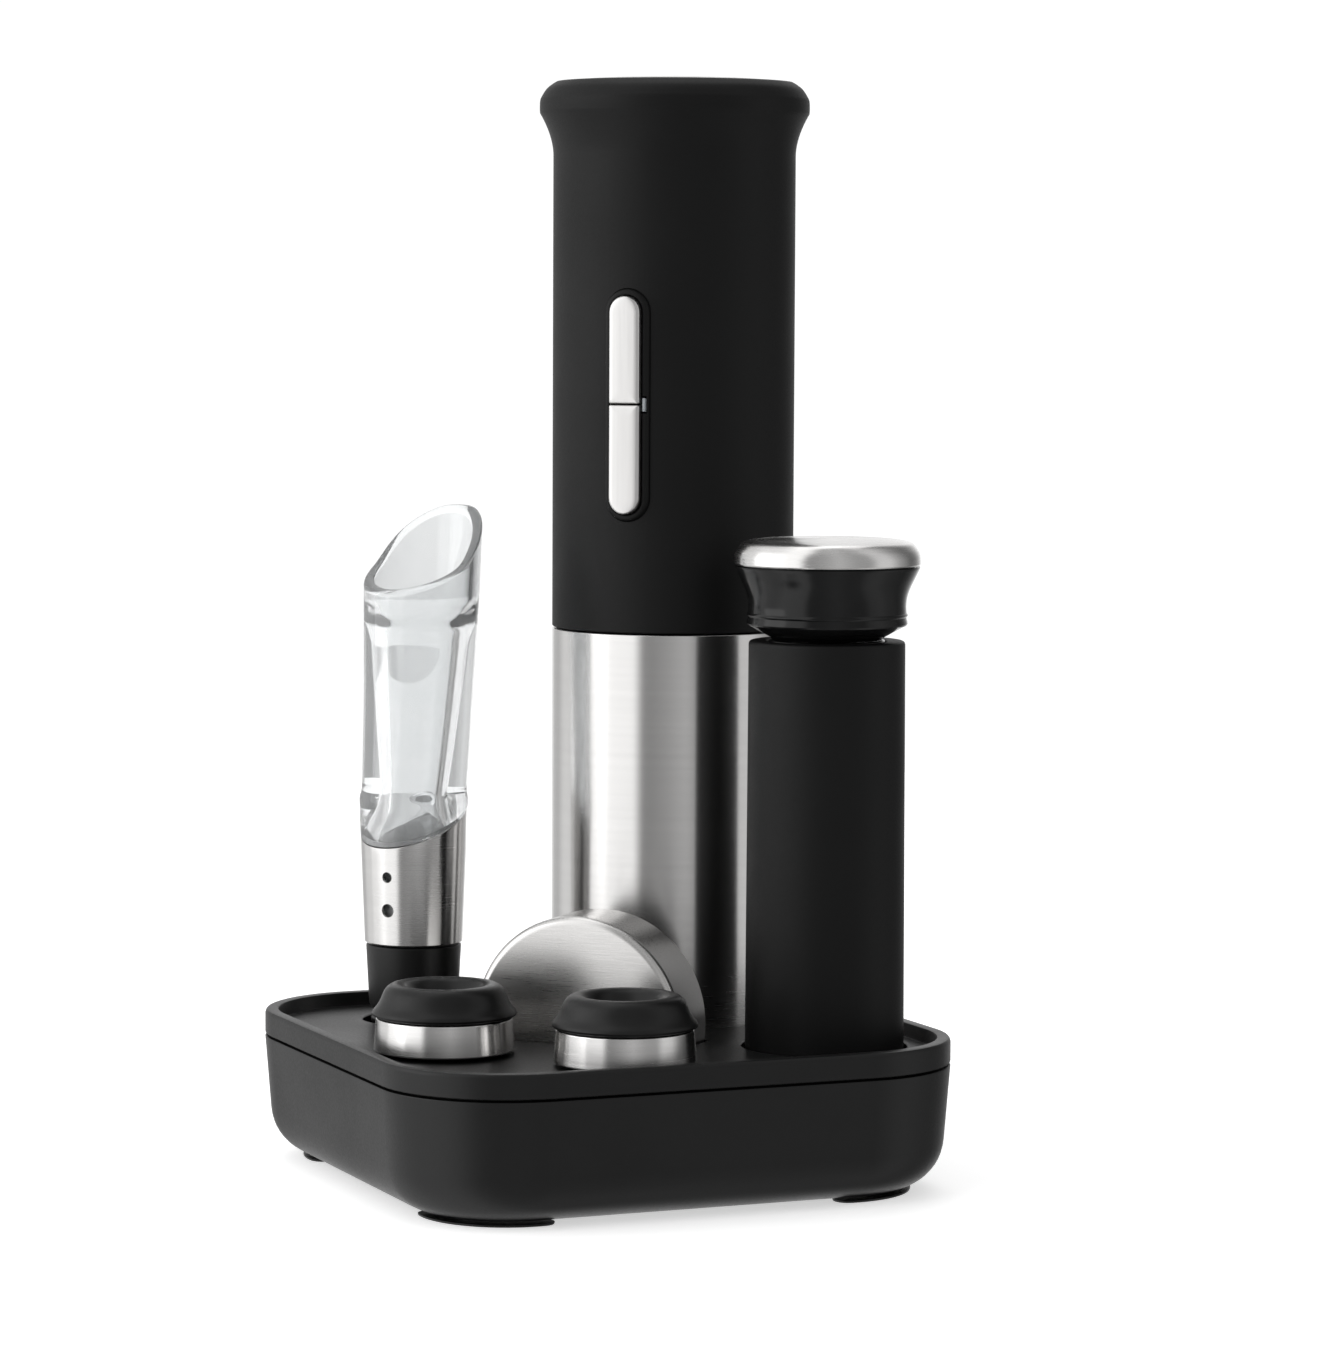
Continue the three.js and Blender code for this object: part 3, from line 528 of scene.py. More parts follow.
@dataclass(frozen=True)
class Moulded:
    """Moulded plastic or rubber with a fine eroded grain."""

    name: str
    colour: tuple[float, float, float]
    roughness: float = 0.5
    grain: float = 1500.0
    relief: float = 0.15
    depth: float = 0.00005
    wear: float = 0.08
    coat: float = 0.0
    sheen: float = 0.0
    specular: float = 0.5

    def material(self) -> bpy.types.Material:
        """Builds the finish: grained relief, cloudy roughness, slightly uneven colour."""
        r = Recipe(self.name)
        place = r.place()
        clouds = r.noise(place, 28.0, 5.0, 0.6)
        grain = r.noise(place, self.grain, 2.0, 0.55)
        dark = tuple(c * 0.82 for c in self.colour)
        light = tuple(c * 1.18 for c in self.colour)
        r.surface(Base_Color=r.shades(clouds, dark, light))
        rough = r.math("ADD", r.spread(clouds, -self.wear, self.wear), r.spread(grain, -0.04, 0.04))
        r.surface(Roughness=r.math("ADD", rough, self.roughness))
        r.surface(Coat_Weight=self.coat, Coat_Roughness=0.06, Sheen_Weight=self.sheen, Sheen_Roughness=0.45)
        r.shader.inputs["Specular IOR Level"].default_value = self.specular
        r.bump(grain, self.relief, self.depth)
        return r.material


UPRIGHT_SMEAR = 0.25


class Brushing(Enum):
    """Which way the fine scratches of brushed metal run."""

    ROUND = (0.02, 0.02, 1.0)
    UPRIGHT = (1.0, 1.0, 0.02)
    LEVEL = (0.02, 1.0, 1.0)
    CAST = (1.0, 1.0, 1.0)


@dataclass(frozen=True)
class Brushed:
    """Metal brushed one way, with fine scratches and a few deeper ones."""

    name: str
    colour: tuple[float, float, float]
    brushing: Brushing = Brushing.ROUND
    roughness: float = 0.27
    scratch: float = 0.06
    relief: float = 0.05
    scale: float = 2600.0
    stretch: float = 0.75

    def material(self) -> bpy.types.Material:
        """Builds the finish: streaked roughness and relief over a barely clouded colour."""
        r = Recipe(self.name)
        where = r.stretched(*self.brushing.value)
        if self.brushing is Brushing.ROUND:
            round_axis = r.node("ShaderNodeTangent", {"direction_type": "RADIAL", "axis": "Z"})
            r.surface(Tangent=round_axis.outputs["Tangent"], Anisotropic=self.stretch,
                      Anisotropic_Rotation=UPRIGHT_SMEAR)
        fine = r.noise(where, self.scale, 4.0, 0.7)
        coarse = r.noise(where, self.scale * 0.22, 3.0, 0.6)
        clouds = r.noise(r.place(), 22.0, 3.0, 0.5)
        dark = tuple(c * 0.975 for c in self.colour)
        light = tuple(min(1.0, c * 1.02) for c in self.colour)
        r.surface(Base_Color=r.shades(coarse, dark, light), Metallic=1.0)
        streaks = r.math("ADD", r.spread(fine, -self.scratch, self.scratch), r.spread(clouds, -0.03, 0.03))
        r.surface(Roughness=r.math("ADD", streaks, self.roughness))
        r.bump(fine, self.relief, 0.00002)
        return r.material


@dataclass(frozen=True)
class ClearAcrylic:
    """Thick clear acrylic, polished outside, with faint flow marks."""

    name: str
    tint: tuple[float, float, float] = (0.84, 0.855, 0.86)

    def material(self) -> bpy.types.Material:
        """Builds the finish: full transmission with slow ripples left by the mould."""
        r = Recipe(self.name)
        ripples = r.noise(r.stretched(1.0, 1.0, 0.35), 70.0, 2.0, 0.4)
        haze = r.noise(r.place(), 160.0, 4.0, 0.6)
        r.surface(Base_Color=r.shades(haze, self.tint, (0.87, 0.88, 0.885)))
        r.surface(Roughness=r.spread(haze, 0.0, 0.035), Transmission_Weight=0.88, IOR=1.49)
        r.bump(ripples, 0.12, 0.0006)
        return r.material


@dataclass(frozen=True)
class CellWrap:
    """Shrink-wrapped cell: a coloured sleeve with plain bands."""

    name: str
    colour: tuple[float, float, float]
    band: tuple[float, float, float]

    def material(self) -> bpy.types.Material:
        """Builds the finish: two tones split by height, under a glossy film."""
        r = Recipe(self.name)
        height = r.node("ShaderNodeSeparateXYZ", Vector=r.place()).outputs["Z"]
        wave = r.math("SINE", r.math("MULTIPLY", height, 140.0))
        split = r.spread(wave, 0.0, 1.0, 0.55, 0.6)
        mix = r.node("ShaderNodeMix", {"data_type": "RGBA"})
        r.tree.links.new(split, mix.inputs[0])
        mix.inputs[6].default_value = (*self.colour, 1)
        mix.inputs[7].default_value = (*self.band, 1)
        wrinkles = r.noise(r.stretched(1, 1, 0.3), 420.0, 3.0)
        r.surface(Base_Color=mix.outputs[2], Roughness=r.spread(wrinkles, 0.22, 0.4))
        r.bump(wrinkles, 0.15, 0.0001)
        return r.material


@dataclass(frozen=True)
class CircuitBoard:
    """Green solder mask over copper tracks."""

    name: str

    def material(self) -> bpy.types.Material:
        """Builds the finish: darker board with paler raised tracks."""
        r = Recipe(self.name)
        tracks = r.node("ShaderNodeTexBrick", Vector=r.stretched(1, 1, 1), Scale=420.0)
        tracks.inputs["Mortar Size"].default_value = 0.035
        tracks.inputs["Color1"].default_value = (0.01, 0.09, 0.04, 1)
        tracks.inputs["Color2"].default_value = (0.012, 0.11, 0.05, 1)
        tracks.inputs["Mortar"].default_value = (0.06, 0.26, 0.12, 1)
        grain = r.noise(r.place(), 900.0)
        r.surface(Base_Color=tracks.outputs["Color"], Roughness=r.spread(grain, 0.25, 0.4))
        r.bump(tracks.outputs["Fac"], 0.2, 0.00005)
        return r.material


Finish = Moulded | Brushed | ClearAcrylic | CellWrap | CircuitBoard

BASE_PLASTIC = Moulded("base_plastic", grey(0.0045, -0.02), roughness=0.4, grain=1900.0, relief=0.22,
                       depth=0.00006, wear=0.05, specular=0.3)
SOFT_TOUCH = Moulded("soft_touch", grey(0.0032, -0.02), roughness=0.53, grain=2600.0, relief=0.12,
                     depth=0.00004, wear=0.05, specular=0.2)
GLOSS_BLACK = Moulded("gloss_black", grey(0.004, -0.03), roughness=0.17, grain=900.0, relief=0.02,
                      depth=0.00003, wear=0.03, specular=0.27)
BLACK_RUBBER = Moulded("black_rubber", grey(0.0055), roughness=0.38, grain=1300.0, relief=0.08,
                       wear=0.07, specular=0.28)
INNER_PLASTIC = Moulded("inner_plastic", grey(0.045), roughness=0.45, grain=1200.0, relief=0.12, wear=0.05)
GEAR_NYLON = Moulded("gear_nylon", (0.66, 0.63, 0.55), roughness=0.42, grain=900.0, relief=0.1, wear=0.05)
GREY_LENS = Moulded("grey_lens", (0.30, 0.32, 0.34), roughness=0.2, grain=500.0, relief=0.03,
                    depth=0.00003, wear=0.03, coat=0.4)
STEEL_TUBE = Brushed("steel", grey(0.62, 0.012), roughness=0.25, scratch=0.02, relief=0.012, stretch=0.9)
STEEL_DISC = Brushed("steel_disc", grey(0.6, 0.015), Brushing.LEVEL, roughness=0.3, scratch=0.05,
                     relief=0.035, scale=5200.0)
STEEL_FIELD = Brushed("steel_bare", grey(0.56), Brushing.CAST, roughness=0.3, scratch=0.05,
                      relief=0.04, scale=900.0)
BAND_STEEL = Brushed("steel_band", grey(0.7, 0.012), roughness=0.22, scratch=0.04, relief=0.03, stretch=0.8)
SATIN_STEEL = Brushed("satin_steel", grey(0.68, 0.012), roughness=0.26, scratch=0.05, relief=0.04)
BUTTON_STEEL = Brushed("button_steel", grey(0.64, 0.012), Brushing.UPRIGHT, roughness=0.34,
                       scale=2200.0)
BRASS = Brushed("brass", (0.72, 0.5, 0.2), Brushing.CAST, roughness=0.25, scratch=0.05,
                relief=0.03, scale=900.0)
ACRYLIC = ClearAcrylic("clear_acrylic")
CELL = CellWrap("cell_wrap", (0.02, 0.08, 0.2), (0.35, 0.36, 0.38))
BOARD = CircuitBoard("circuit_board")

_made: dict[str, bpy.types.Material] = {}


def material_of(finish: Finish) -> bpy.types.Material:
    """The material of a finish, made once.

    Args:
        finish: the finish.

    Returns:
        Its material.
    """
    if finish.name not in _made:
        _made[finish.name] = finish.material()
    return _made[finish.name]


def dress(piece: Piece, finish: Finish) -> Piece:
    """Gives a piece one finish all over.

    Args:
        piece: the piece.
        finish: its finish.

    Returns:
        The piece.
    """
    piece.data.materials.clear()
    piece.data.materials.append(material_of(finish))
    return piece


def install(piece: Piece, finish: Finish, body: str, nodes: Sequence[str]) -> Piece:
    """Finishes a piece and hangs it on the frame.

    Args:
        piece: the finished mesh, in place.
        finish: its finish.
        body: the moving body it rides on.
        nodes: the frame nodes it stands for.

    Returns:
        The piece.
    """
    dress(smooth(piece), finish)
    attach(piece, body)
    if nodes:
        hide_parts(*nodes)
    LOG.info("%s rides on %s, %d faces", piece.name, body, len(piece.data.polygons))
    return piece


class Turnery:
    """What the tools share whose round pieces stand on one upright axis."""

    axis_node: ClassVar[str]
    body: ClassVar[str]

    @property
    def centre(self) -> tuple[float, float]:
        """The tool's axis, from the frame, in millimetres."""
        middle = node_centre(self.axis_node)
        return (middle.x, middle.y)

    def lathe(self, name: str, outline: Outline, node: str, finish: Finish, slot: str,
              ring: bool = True, facets: int = 96, body: str = "") -> Piece:
        """Turns an outline on the tool's axis and installs it.

        Args:
            name: the piece's name.
            outline: corners as (radius, height) or (radius, height, fillet).
            node: the frame node it stands for.
            finish: its finish.
            slot: the record's material slot; not used.
            ring: whether the outline closes on itself.
            facets: steps round the axis.
            body: the moving body it rides on, if not the tool's own.

        Returns:
            The piece.
        """
        piece = turned(name, rounded(outline, closed=ring), self.centre, ring, facets)
        return install(piece, finish, body or self.body, [node])


# ------------------------------------------------------------------ the stand


@dataclass
class Stand:
    """Square stand on its diagonal: shell, deck with wells, screws, power inlet, feet, pins."""

    side: float = 127.5
    corner: float = 27.6
    foot: float = 0.8
    shell_top: float = 27.35
    deck_bottom: float = 27.8
    deck_top: float = 30.0
    rim_top: float = 33.1
    rim_width: float = 3.0
    wall: float = 2.4
    draft: float = math.radians(4.5)
    fillet: float = 11.0
    well_floor: float = 11.0
    well_wall: float = 1.8
    cup_base: float = 1.8
    trough_radius: float = 24.6
    trough_height: float = 33.6
    trough_span: tuple[float, float] = (-15.8, 1.8)
    trough_wall: float = 1.6
    inlet_height: float = 14.0
    pad_middle: float = 16.0
    pad_half: float = 3.2
    pad_spread: float = math.radians(49.0)
    wells: dict[str, float] = field(default_factory=lambda: {
        "steel_tube": 27.6, "pump_body": 17.8, "pourer_plug": 11.2,
        "stopper_left_ring": 10.2, "stopper_right_ring": 10.2})

    @property
    def reach(self) -> float:
        """From the stand's middle to the centres of its round corners."""
        return math.sqrt(2) * (self.side / 2 - self.corner)

    def outline(self, inset: float, z: float, steps: int = 14) -> Solid:
        """The rounded square at one height, corners to the front, back and sides.

        Args:
            inset: how far inside the stand's outer edge it lies.
            z: its height.
            steps: arc steps at each corner.

        Returns:
            The outline's points.
        """
        radius = self.corner - inset
        points = []
        for quarter in range(4):
            turn = quarter * QUARTER_TURN
            for angle in _sweep(turn - math.pi / 4, turn + math.pi / 4, steps):
                points.append((self.reach * math.cos(turn) + radius * math.cos(angle),
                               self.reach * math.sin(turn) + radius * math.sin(angle), z))
        return points

    def shell_side(self, offset: float, top: float) -> Flat:
        """The shell's side, from its flat bottom to the top.

        Args:
            offset: how far inside the outer face it lies.
            top: height of its upper end.

        Returns:
            The side's (inset, height) points.
        """
        arc_z = self.foot + self.fillet
        wall_foot = arc_z - self.fillet * math.sin(self.draft)
        arc_inset = (self.shell_top - wall_foot) * math.tan(self.draft) + self.fillet * math.cos(self.draft)
        radius = self.fillet - offset
        arc = [(arc_inset - radius * math.cos(a), arc_z - radius * math.sin(a))
               for a in _sweep(QUARTER_TURN, self.draft, 12)]
        return arc + [(offset, top)]

    def shell(self) -> None:
        """Lower shell: drafted sides that round into the bottom, with a hole for the power inlet."""
        top = self.shell_top
        outside = self.shell_side(0.0, top - 0.35) + [(0.1, top - 0.1), (0.35, top)]
        inside = list(reversed(self.shell_side(self.wall, top)))
        piece = skin("stand_shell", [self.outline(inset, z) for inset, z in outside + inside])
        bore = [(0, 50), (4.0, 50), (4.0, 61.6), (4.4, 62.2), (5.0, 62.6), (5.0, 66), (0, 66)]
        seat = [(0, 0), (3.4, 0), (3.4, 0.8), (3.1, 1.1), (3.1, 3.6), (1.7, 3.6), (1.7, 6), (0, 6)]
        cutters = [self.along_inlet(turned("cut", bore, (0, 0), facets=48))]
        cutters += [turned("cut", seat, at, facets=40) for at in self.screw_places()]
        posts = [cylinder("post", at, 4.5, 2.0, 5.4, 48) for at in self.screw_places()]
        combine(piece, posts, Operation.JOIN)
        combine(piece, cutters, Operation.CUT)
        install(piece, BASE_PLASTIC, "base", ["base_shell"])

    def along_inlet(self, piece: Piece) -> Piece:
        """Lays a turned piece along the inlet's axis, out through the back right wall."""
        turn = Matrix.Rotation(math.pi / 4, 4, "Z") @ Matrix.Rotation(QUARTER_TURN, 4, "Y")
        return move_mesh(piece, Matrix.Translation((0, 0, self.inlet_height * MM)) @ turn)

    def screw_places(self) -> Flat:
        """Where the four screws stand, from the frame."""
        return [tuple(node_centre(f"base_screw_{i}")[:2]) for i in range(1, 5)]

    def deck(self) -> None:
        """Upper deck: raised rim, sunk floor, a well for each tool and the foil cutter's trough."""
        top, rim, under, tray = self.rim_top, self.rim_width, self.deck_bottom, self.deck_top
        levels = [(4.2, under), (4.2, 24.5), (2.7, 24.5), (2.7, under), (0.2, under), (0.0, under + 0.2),
                  (0.0, top - 1.0), (0.12, top - 0.5), (0.42, top - 0.14), (0.85, top), (rim - 0.5, top),
                  (rim - 0.15, top - 0.12), (rim, top - 0.45), (rim + 0.5, tray + 0.5),
                  (rim + 0.66, tray + 0.14), (rim + 1.0, tray)]
        piece = skin("stand_deck", [self.outline(inset, z) for inset, z in levels])
        floor = self.well_floor
        cups = [cylinder("cup", node_centre(node), radius + self.well_wall, floor - self.cup_base, 29, 96)
                for node, radius in self.wells.items()]
        combine(piece, cups + [self.trough_skin()], Operation.JOIN)
        cutters = [self.trough(0.0)]
        for node, radius in self.wells.items():
            throat = [(0, floor), (radius, floor), (radius, tray - 0.7), (radius + 0.1, tray - 0.3),
                      (radius + 0.4, tray - 0.06), (radius + 0.8, tray + 0.02), (radius + 0.8, 40), (0, 40)]
            cutters.append(turned("cut", throat, node_centre(node), facets=128))
        cutters += [cylinder("cut", node_centre(f"charge_pin_{side}"), 1.5, 5, 12, 24) for side in SIDES]
        combine(piece, cutters, Operation.CUT)
        install(piece, BASE_PLASTIC, "base", ["base_deck"])

    def trough(self, grow: float) -> Piece:
        """A drum along Y, as large as the foil cutter's trough or its skin.

        Args:
            grow: how much larger than the trough it is, in millimetres.

        Returns:
            The drum.
        """
        near, far = self.trough_span
        drum = cylinder("drum", (0, 0), self.trough_radius + grow, near - grow, far + grow, 144)
        turn = Matrix.Rotation(-QUARTER_TURN, 4, "X")
        return move_mesh(drum, Matrix.Translation((0, 0, self.trough_height * MM)) @ turn)

    def trough_skin(self) -> Piece:
        """The part of the trough's outer skin that lies under the deck."""
        below = rounded_block("below", (-60, -30, 0), (60, 30, 29), 0.1)
        return combine(self.trough(self.trough_wall), [below], Operation.KEEP)

    def screws(self) -> None:
        """Four self-tapping screws with crossed recesses, seen from below."""
        outline = [(0, 1.8), (2.1, 1.8), (2.55, 1.92), (2.75, 2.2), (2.8, 2.8), (1.4, 3.3), (1.4, 8.1),
                   (0, 8.9)]
        for i, (x, y) in enumerate(self.screw_places(), start=1):
            screw = turned("screw", outline, (x, y), facets=40)
            slots = [rounded_block("slot", (x - a, y - b, 1.3), (x + a, y + b, 2.5), 0.05)
                     for a, b in ((1.6, 0.35), (0.35, 1.6))]
            combine(screw, slots, Operation.CUT)
            screw.name = f"stand_screw_{i}"
            install(screw, STEEL_FIELD, "base", [f"base_screw_{i}"])

    def inlet(self) -> None:
        """Round socket for the charger's plug: barrel, collar and centre pin."""
        outline = [(0, 48), (5.2, 48), (5.2, 58.4), (3.7, 58.4), (3.7, 62.0), (3.5, 62.2), (3.0, 62.2),
                   (2.9, 62.0), (2.9, 51.5), (0.9, 51.5), (0.9, 60.1), (0.55, 60.5), (0, 60.5)]
        piece = turned("power_inlet", outline, (0, 0), facets=64)
        install(self.along_inlet(piece), GLOSS_BLACK, "base", ["dc_inlet"])

    def feet(self) -> None:
        """Four rubber pads, each curved round its corner."""
        levels = [(0.3, 0.0), (0.08, 0.08), (0.0, 0.3), (0.0, 0.5)]
        for name, turn in (("right", 0), ("back", 90), ("left", 180), ("front", 270)):
            loops = [self.pad(math.radians(turn), inset, z) for inset, z in levels]
            piece = skin(f"stand_foot_{name}", loops)
            install(piece, BLACK_RUBBER, "base", [f"foot_{name}"])

    def pad(self, turn: float, inset: float, z: float) -> Solid:
        """A foot's curved pad at one height, with round ends.

        Args:
            turn: which way the foot lies from the stand's middle.
            inset: how far inside the pad's edge the outline lies.
            z: its height.

        Returns:
            The outline's points.
        """
        middle, half, spread = self.pad_middle, self.pad_half - inset, self.pad_spread
        outer, inner = middle + half, middle - half
        flat = [(outer * math.cos(a), outer * math.sin(a)) for a in _sweep(-spread, spread, 20)]
        flat += self.pad_end(middle, half, spread, 1)
        flat += [(inner * math.cos(a), inner * math.sin(a)) for a in _sweep(spread, -spread, 20)]
        flat += self.pad_end(middle, half, -spread, -1)
        along, across = math.cos(turn), math.sin(turn)
        return [((self.reach + x) * along - y * across, (self.reach + x) * across + y * along, z)
                for x, y in flat]

    @staticmethod
    def pad_end(middle: float, half: float, at: float, way: int) -> Flat:
        """The half circle at one end of a pad.

        Args:
            middle: radius of the pad's middle line.
            half: half the pad's width.
            at: angle of the end.
            way: 1 at the end of the sweep, -1 at its start.

        Returns:
            The half circle's points, without its ends.
        """
        cx, cy = middle * math.cos(at), middle * math.sin(at)
        start = at if way > 0 else at + math.pi
        return [(cx + half * math.cos(start + a), cy + half * math.sin(start + a))
                for a in _sweep(0, math.pi, 10)[1:-1]]

    def pins(self) -> None:
        """The two contact pins that feed the opener."""
        outline = [(0, 7.7), (2.4, 7.7), (2.4, 8.9), (1.2, 8.9), (1.2, 12.2), (1.0, 12.5), (0.6, 12.74),
                   (0, 12.8)]
        for side in SIDES:
            piece = turned(f"contact_pin_{side}", outline, node_centre(f"charge_pin_{side}"), facets=32)
            install(piece, BRASS, "base", [f"charge_pin_{side}"])

    def build(self) -> None:
        """Builds the whole stand."""
        self.shell()
        self.deck()
        self.screws()
        self.inlet()
        self.feet()
        self.pins()


# ------------------------------------------------------------------ the opener


@dataclass
class Opener(Turnery):
    """The opener's casing, buttons, guides and power pack."""

    axis_node: ClassVar[str] = "steel_tube"
    body: ClassVar[str] = "opener"
    radius: float = 27.0
    bottom: float = 11.3
    seam: float = 116.8
    flare: float = 30.0
    flare_z: float = 233.4
    flare_foot: float = 222.0
    flare_bend: float = 1.8
    top: float = 238.2
    inner: float = 24.4
    button_width: float = 7.1
    button_rim: float = 1.65
    button_span: tuple[float, float] = (143.1, 190.8)
    button_gap: float = 0.15
    split: float = 167.2

    def tube(self) -> None:
        """Lower tube of brushed steel, with softly broken edges."""
        top = self.seam - 0.2
        outline = [(26, self.bottom), (self.radius, self.bottom, 0.3), (self.radius, top, 0.25), (26, top)]
        self.lathe("steel_tube_skin", outline, "steel_tube", STEEL_TUBE, "steel", facets=128)

    def handle(self) -> None:
        """Soft-touch handle: straight, a smooth flare, a rounded shoulder and the buttons' slot."""
        rise = self.flare_z - 2.2 - self.flare_foot
        flare = [(self.radius + (self.flare - self.radius) * (i / 12) ** self.flare_bend,
                  self.flare_foot + rise * i / 12) for i in range(13)]
        knots = [(self.flare, self.flare_z + 0.4), (29.55, 235.0), (28.5, 236.6), (27.2, 237.65),
                 (26.3, self.top)]
        shoulder = flowing(flare[-2:] + knots, 5)[5:]
        outer = [(self.radius, self.seam + 0.45)] + flare[:-1] + shoulder
        seam_edge = [(self.inner, self.seam + 0.2), (self.radius - 0.25, self.seam + 0.2)]
        inside = [(24.3, self.top), (24.3, 236.6), (22, 236.6), (22, 233.6), (self.inner, 233.6)]
        piece = turned("handle_skin", seam_edge + outer + inside, self.centre, True, 144)
        margin = self.button_rim + 0.06
        low, high = self.button_span
        slot = self.pill_cutter(self.button_width + 2 * margin, low - margin, high + margin)
        combine(piece, [slot], Operation.CUT)
        install(piece, SOFT_TOUCH, "opener", ["handle_sleeve"])

    def pill_cutter(self, width: float, low: float, high: float) -> Piece:
        """A long upright pill that cuts through the handle's front wall.

        Args:
            width: the pill's width.
            low: height of its lower end.
            high: height of its upper end.

        Returns:
            The cutter.
        """
        outline = pill_outline(width, low, high, 20)
        y = self.centre[1]
        return skin("cut", [[(x, y + depth, z) for x, z in outline] for depth in (-35, -15)])

    def at_front(self, outline: Outline, depth: float) -> Solid:
        """An outline of (x, z) pairs stood in front of the opener's axis."""
        x0, y0 = self.centre
        return [(x0 + x, y0 + depth, z) for x, z in outline]

    def bezel(self) -> None:
        """Raised black surround of the buttons, with a soft outer edge and a flange behind the wall."""
        low, high = self.button_span
        rim = self.button_rim
        levels = [(-0.8, -23.2), (0.0, -23.25), (0.0, -26.5), (0.07, -27.0), (0.27, -27.4), (0.56, -27.68),
                  (0.95, -27.8), (1.2, -27.8), (1.36, -27.72), (1.42, -27.5), (1.42, -22.4), (-0.8, -22.4)]
        loops = []
        for inset, depth in levels:
            width = self.button_width + 2 * rim - 2 * inset
            outline = pill_outline(width, low - rim + inset, high + rim - inset, 20)
            loops.append(self.at_front(outline, depth))
        piece = skin("button_surround", loops, ring=True)
        y = self.centre[1]
        window = rounded_block("cut", (3.4, y - 30, 165.2), (4.9, y - 20, 169.0), 0.3)
        combine(piece, [window], Operation.CUT)
        install(piece, SOFT_TOUCH, "opener", ["button_bezel"])

    def button(self, name: str, low: float, high: float, round_top: bool) -> None:
        """One half of the long steel pill: rounded front edge and a slight crown.

        Args:
            name: the button's node, and the body it rides on.
            low: height of its lower end.
            high: height of its upper end.
            round_top: whether the half circle is at the top.
        """
        levels = [(0.0, -22.0), (0.0, -28.7), (0.08, -28.98), (0.3, -29.2), (0.62, -29.31),
                  (1.4, -29.37), (2.6, -29.4)]
        loops = []
        for inset, depth in levels:
            outline = half_pill_outline(self.button_width - 2 * inset, low + inset, high - inset, round_top)
            loops.append(self.at_front(outline, depth))
        piece = skin(f"{name}_cap", loops)
        y = self.centre[1]
        foot = rounded_block("foot", (-4.1, y - 22.1, low + 1), (4.1, y - 21.3, high - 1), 0.15)
        combine(piece, [foot], Operation.JOIN)
        install(piece, BUTTON_STEEL, name, [name])

    def lens(self) -> None:
        """Small grey window of the charge light."""
        y = self.centre[1]
        piece = rounded_block("charge_light", (3.95, y - 28.1, 165.6), (4.6, y - 22.5, 168.6), 0.2)
        install(piece, GREY_LENS, "opener", ["status_lens"])

    def cap(self) -> None:
        """Satin steel disc in the top of the handle."""
        outline = [(0, 236.9), (24, 236.9), (24, 238.1, 0.5), (20, 238.7, 2), (10, 239.2, 3), (0, 239.3)]
        self.lathe("top_disc", outline, "top_cap", SATIN_STEEL, "satin_steel", ring=False, facets=128)

    def guides(self) -> None:
        """Neck guide that stops the bottle, and the ribbed barrel above it."""
        neck = [(20, 11.7, 1.5), (25.7, 11.7, 0.4), (25.7, 14.7), (20.4, 14.7), (17.8, 22.7, 3),
                (17.8, 48.5), (25.7, 48.5), (25.7, 52.1), (12.6, 52.1), (12.6, 50.5, 0.6),
                (15.8, 50.5, 1.2), (15.8, 21.7, 4)]
        guide = turned("neck_guide_ring", rounded(neck, closed=True), self.centre, True, 96)
        pockets = [cylinder("cut", node_centre(f"charge_pad_{side}"), 2.1, 10, 14, 24) for side in SIDES]
        combine(guide, pockets, Operation.CUT)
        install(guide, INNER_PLASTIC, "opener", ["neck_guide"])
        wall = [(12.6, 52.4), (14.6, 52.4), (14.6, 113.5), (25.7, 113.5), (25.7, 116.3), (12.6, 116.3)]
        barrel = turned("cork_barrel", rounded(wall, closed=True), self.centre, True, 96)
        ribs = []
        for turn in (45, 135, 225, 315):
            rib = rounded_block("rib", (10.6, -0.6, 52.4), (13.6, 0.6, 96), 0.25)
            shift = Matrix.Translation(Vector((*self.centre, 0)) * MM)
            ribs.append(move_mesh(rib, shift @ Matrix.Rotation(math.radians(turn), 4, "Z")))
        combine(barrel, ribs, Operation.JOIN)
        install(barrel, INNER_PLASTIC, "opener", ["guide_barrel"])
        outline = [(0, 13.1), (1.6, 13.1), (1.8, 13.25), (1.8, 13.7), (0, 13.7)]
        for side in SIDES:
            pad = turned(f"contact_pad_{side}", outline, node_centre(f"charge_pad_{side}"), facets=32)
            install(pad, BRASS, "opener", [f"charge_pad_{side}"])

    def power(self) -> None:
        """Chassis, cells, motor and its mount."""
        spool = [(8, 117.2), (24, 117.2, 0.3), (24, 119.4, 0.3), (10, 119.4, 1.5), (10, 165.6, 1.5),
                 (24, 165.6, 0.3), (24, 168.0, 0.3), (5, 168.0), (5, 166.2), (8, 166.2)]
        chassis = turned("pack_chassis", rounded(spool, closed=True), self.centre, True, 96)
        y = self.centre[1]
        combine(chassis, [rounded_block("cut", (-9, y - 30, 140), (9, y - 13, 190), 0.1)], Operation.CUT)
        install(chassis, INNER_PLASTIC, "opener", ["chassis"])
        outline = rounded([(0, 119.8), (5.25, 119.8, 0.6), (5.25, 163.3, 0.7), (1.8, 163.3),
                           (1.8, 164.3, 0.3), (0, 164.3)])
        for i in range(1, 4):
            node = f"battery_cell_{i}"
            cell = turned(f"power_cell_{i}", outline, node_centre(node), facets=48)
            install(cell, CELL, "opener", [node])
        mount = [(4, 186.3), (15.5, 186.3, 0.8), (15.5, 202, 0.4), (12.3, 202, 0.4), (12.3, 188.7),
                 (4, 188.7)]
        self.lathe("motor_cradle", mount, "motor_mount", INNER_PLASTIC, "inner_plastic")
        can = rounded([(0, 189), (12, 189, 0.8), (12, 222, 1.6), (4, 222, 0.5), (4, 224, 0.4), (0, 224)])
        motor = turned("motor_can", can, self.centre, facets=96)
        combine(motor, [cylinder("cut", self.centre, 1.6, 188, 193.5, 24)], Operation.CUT)
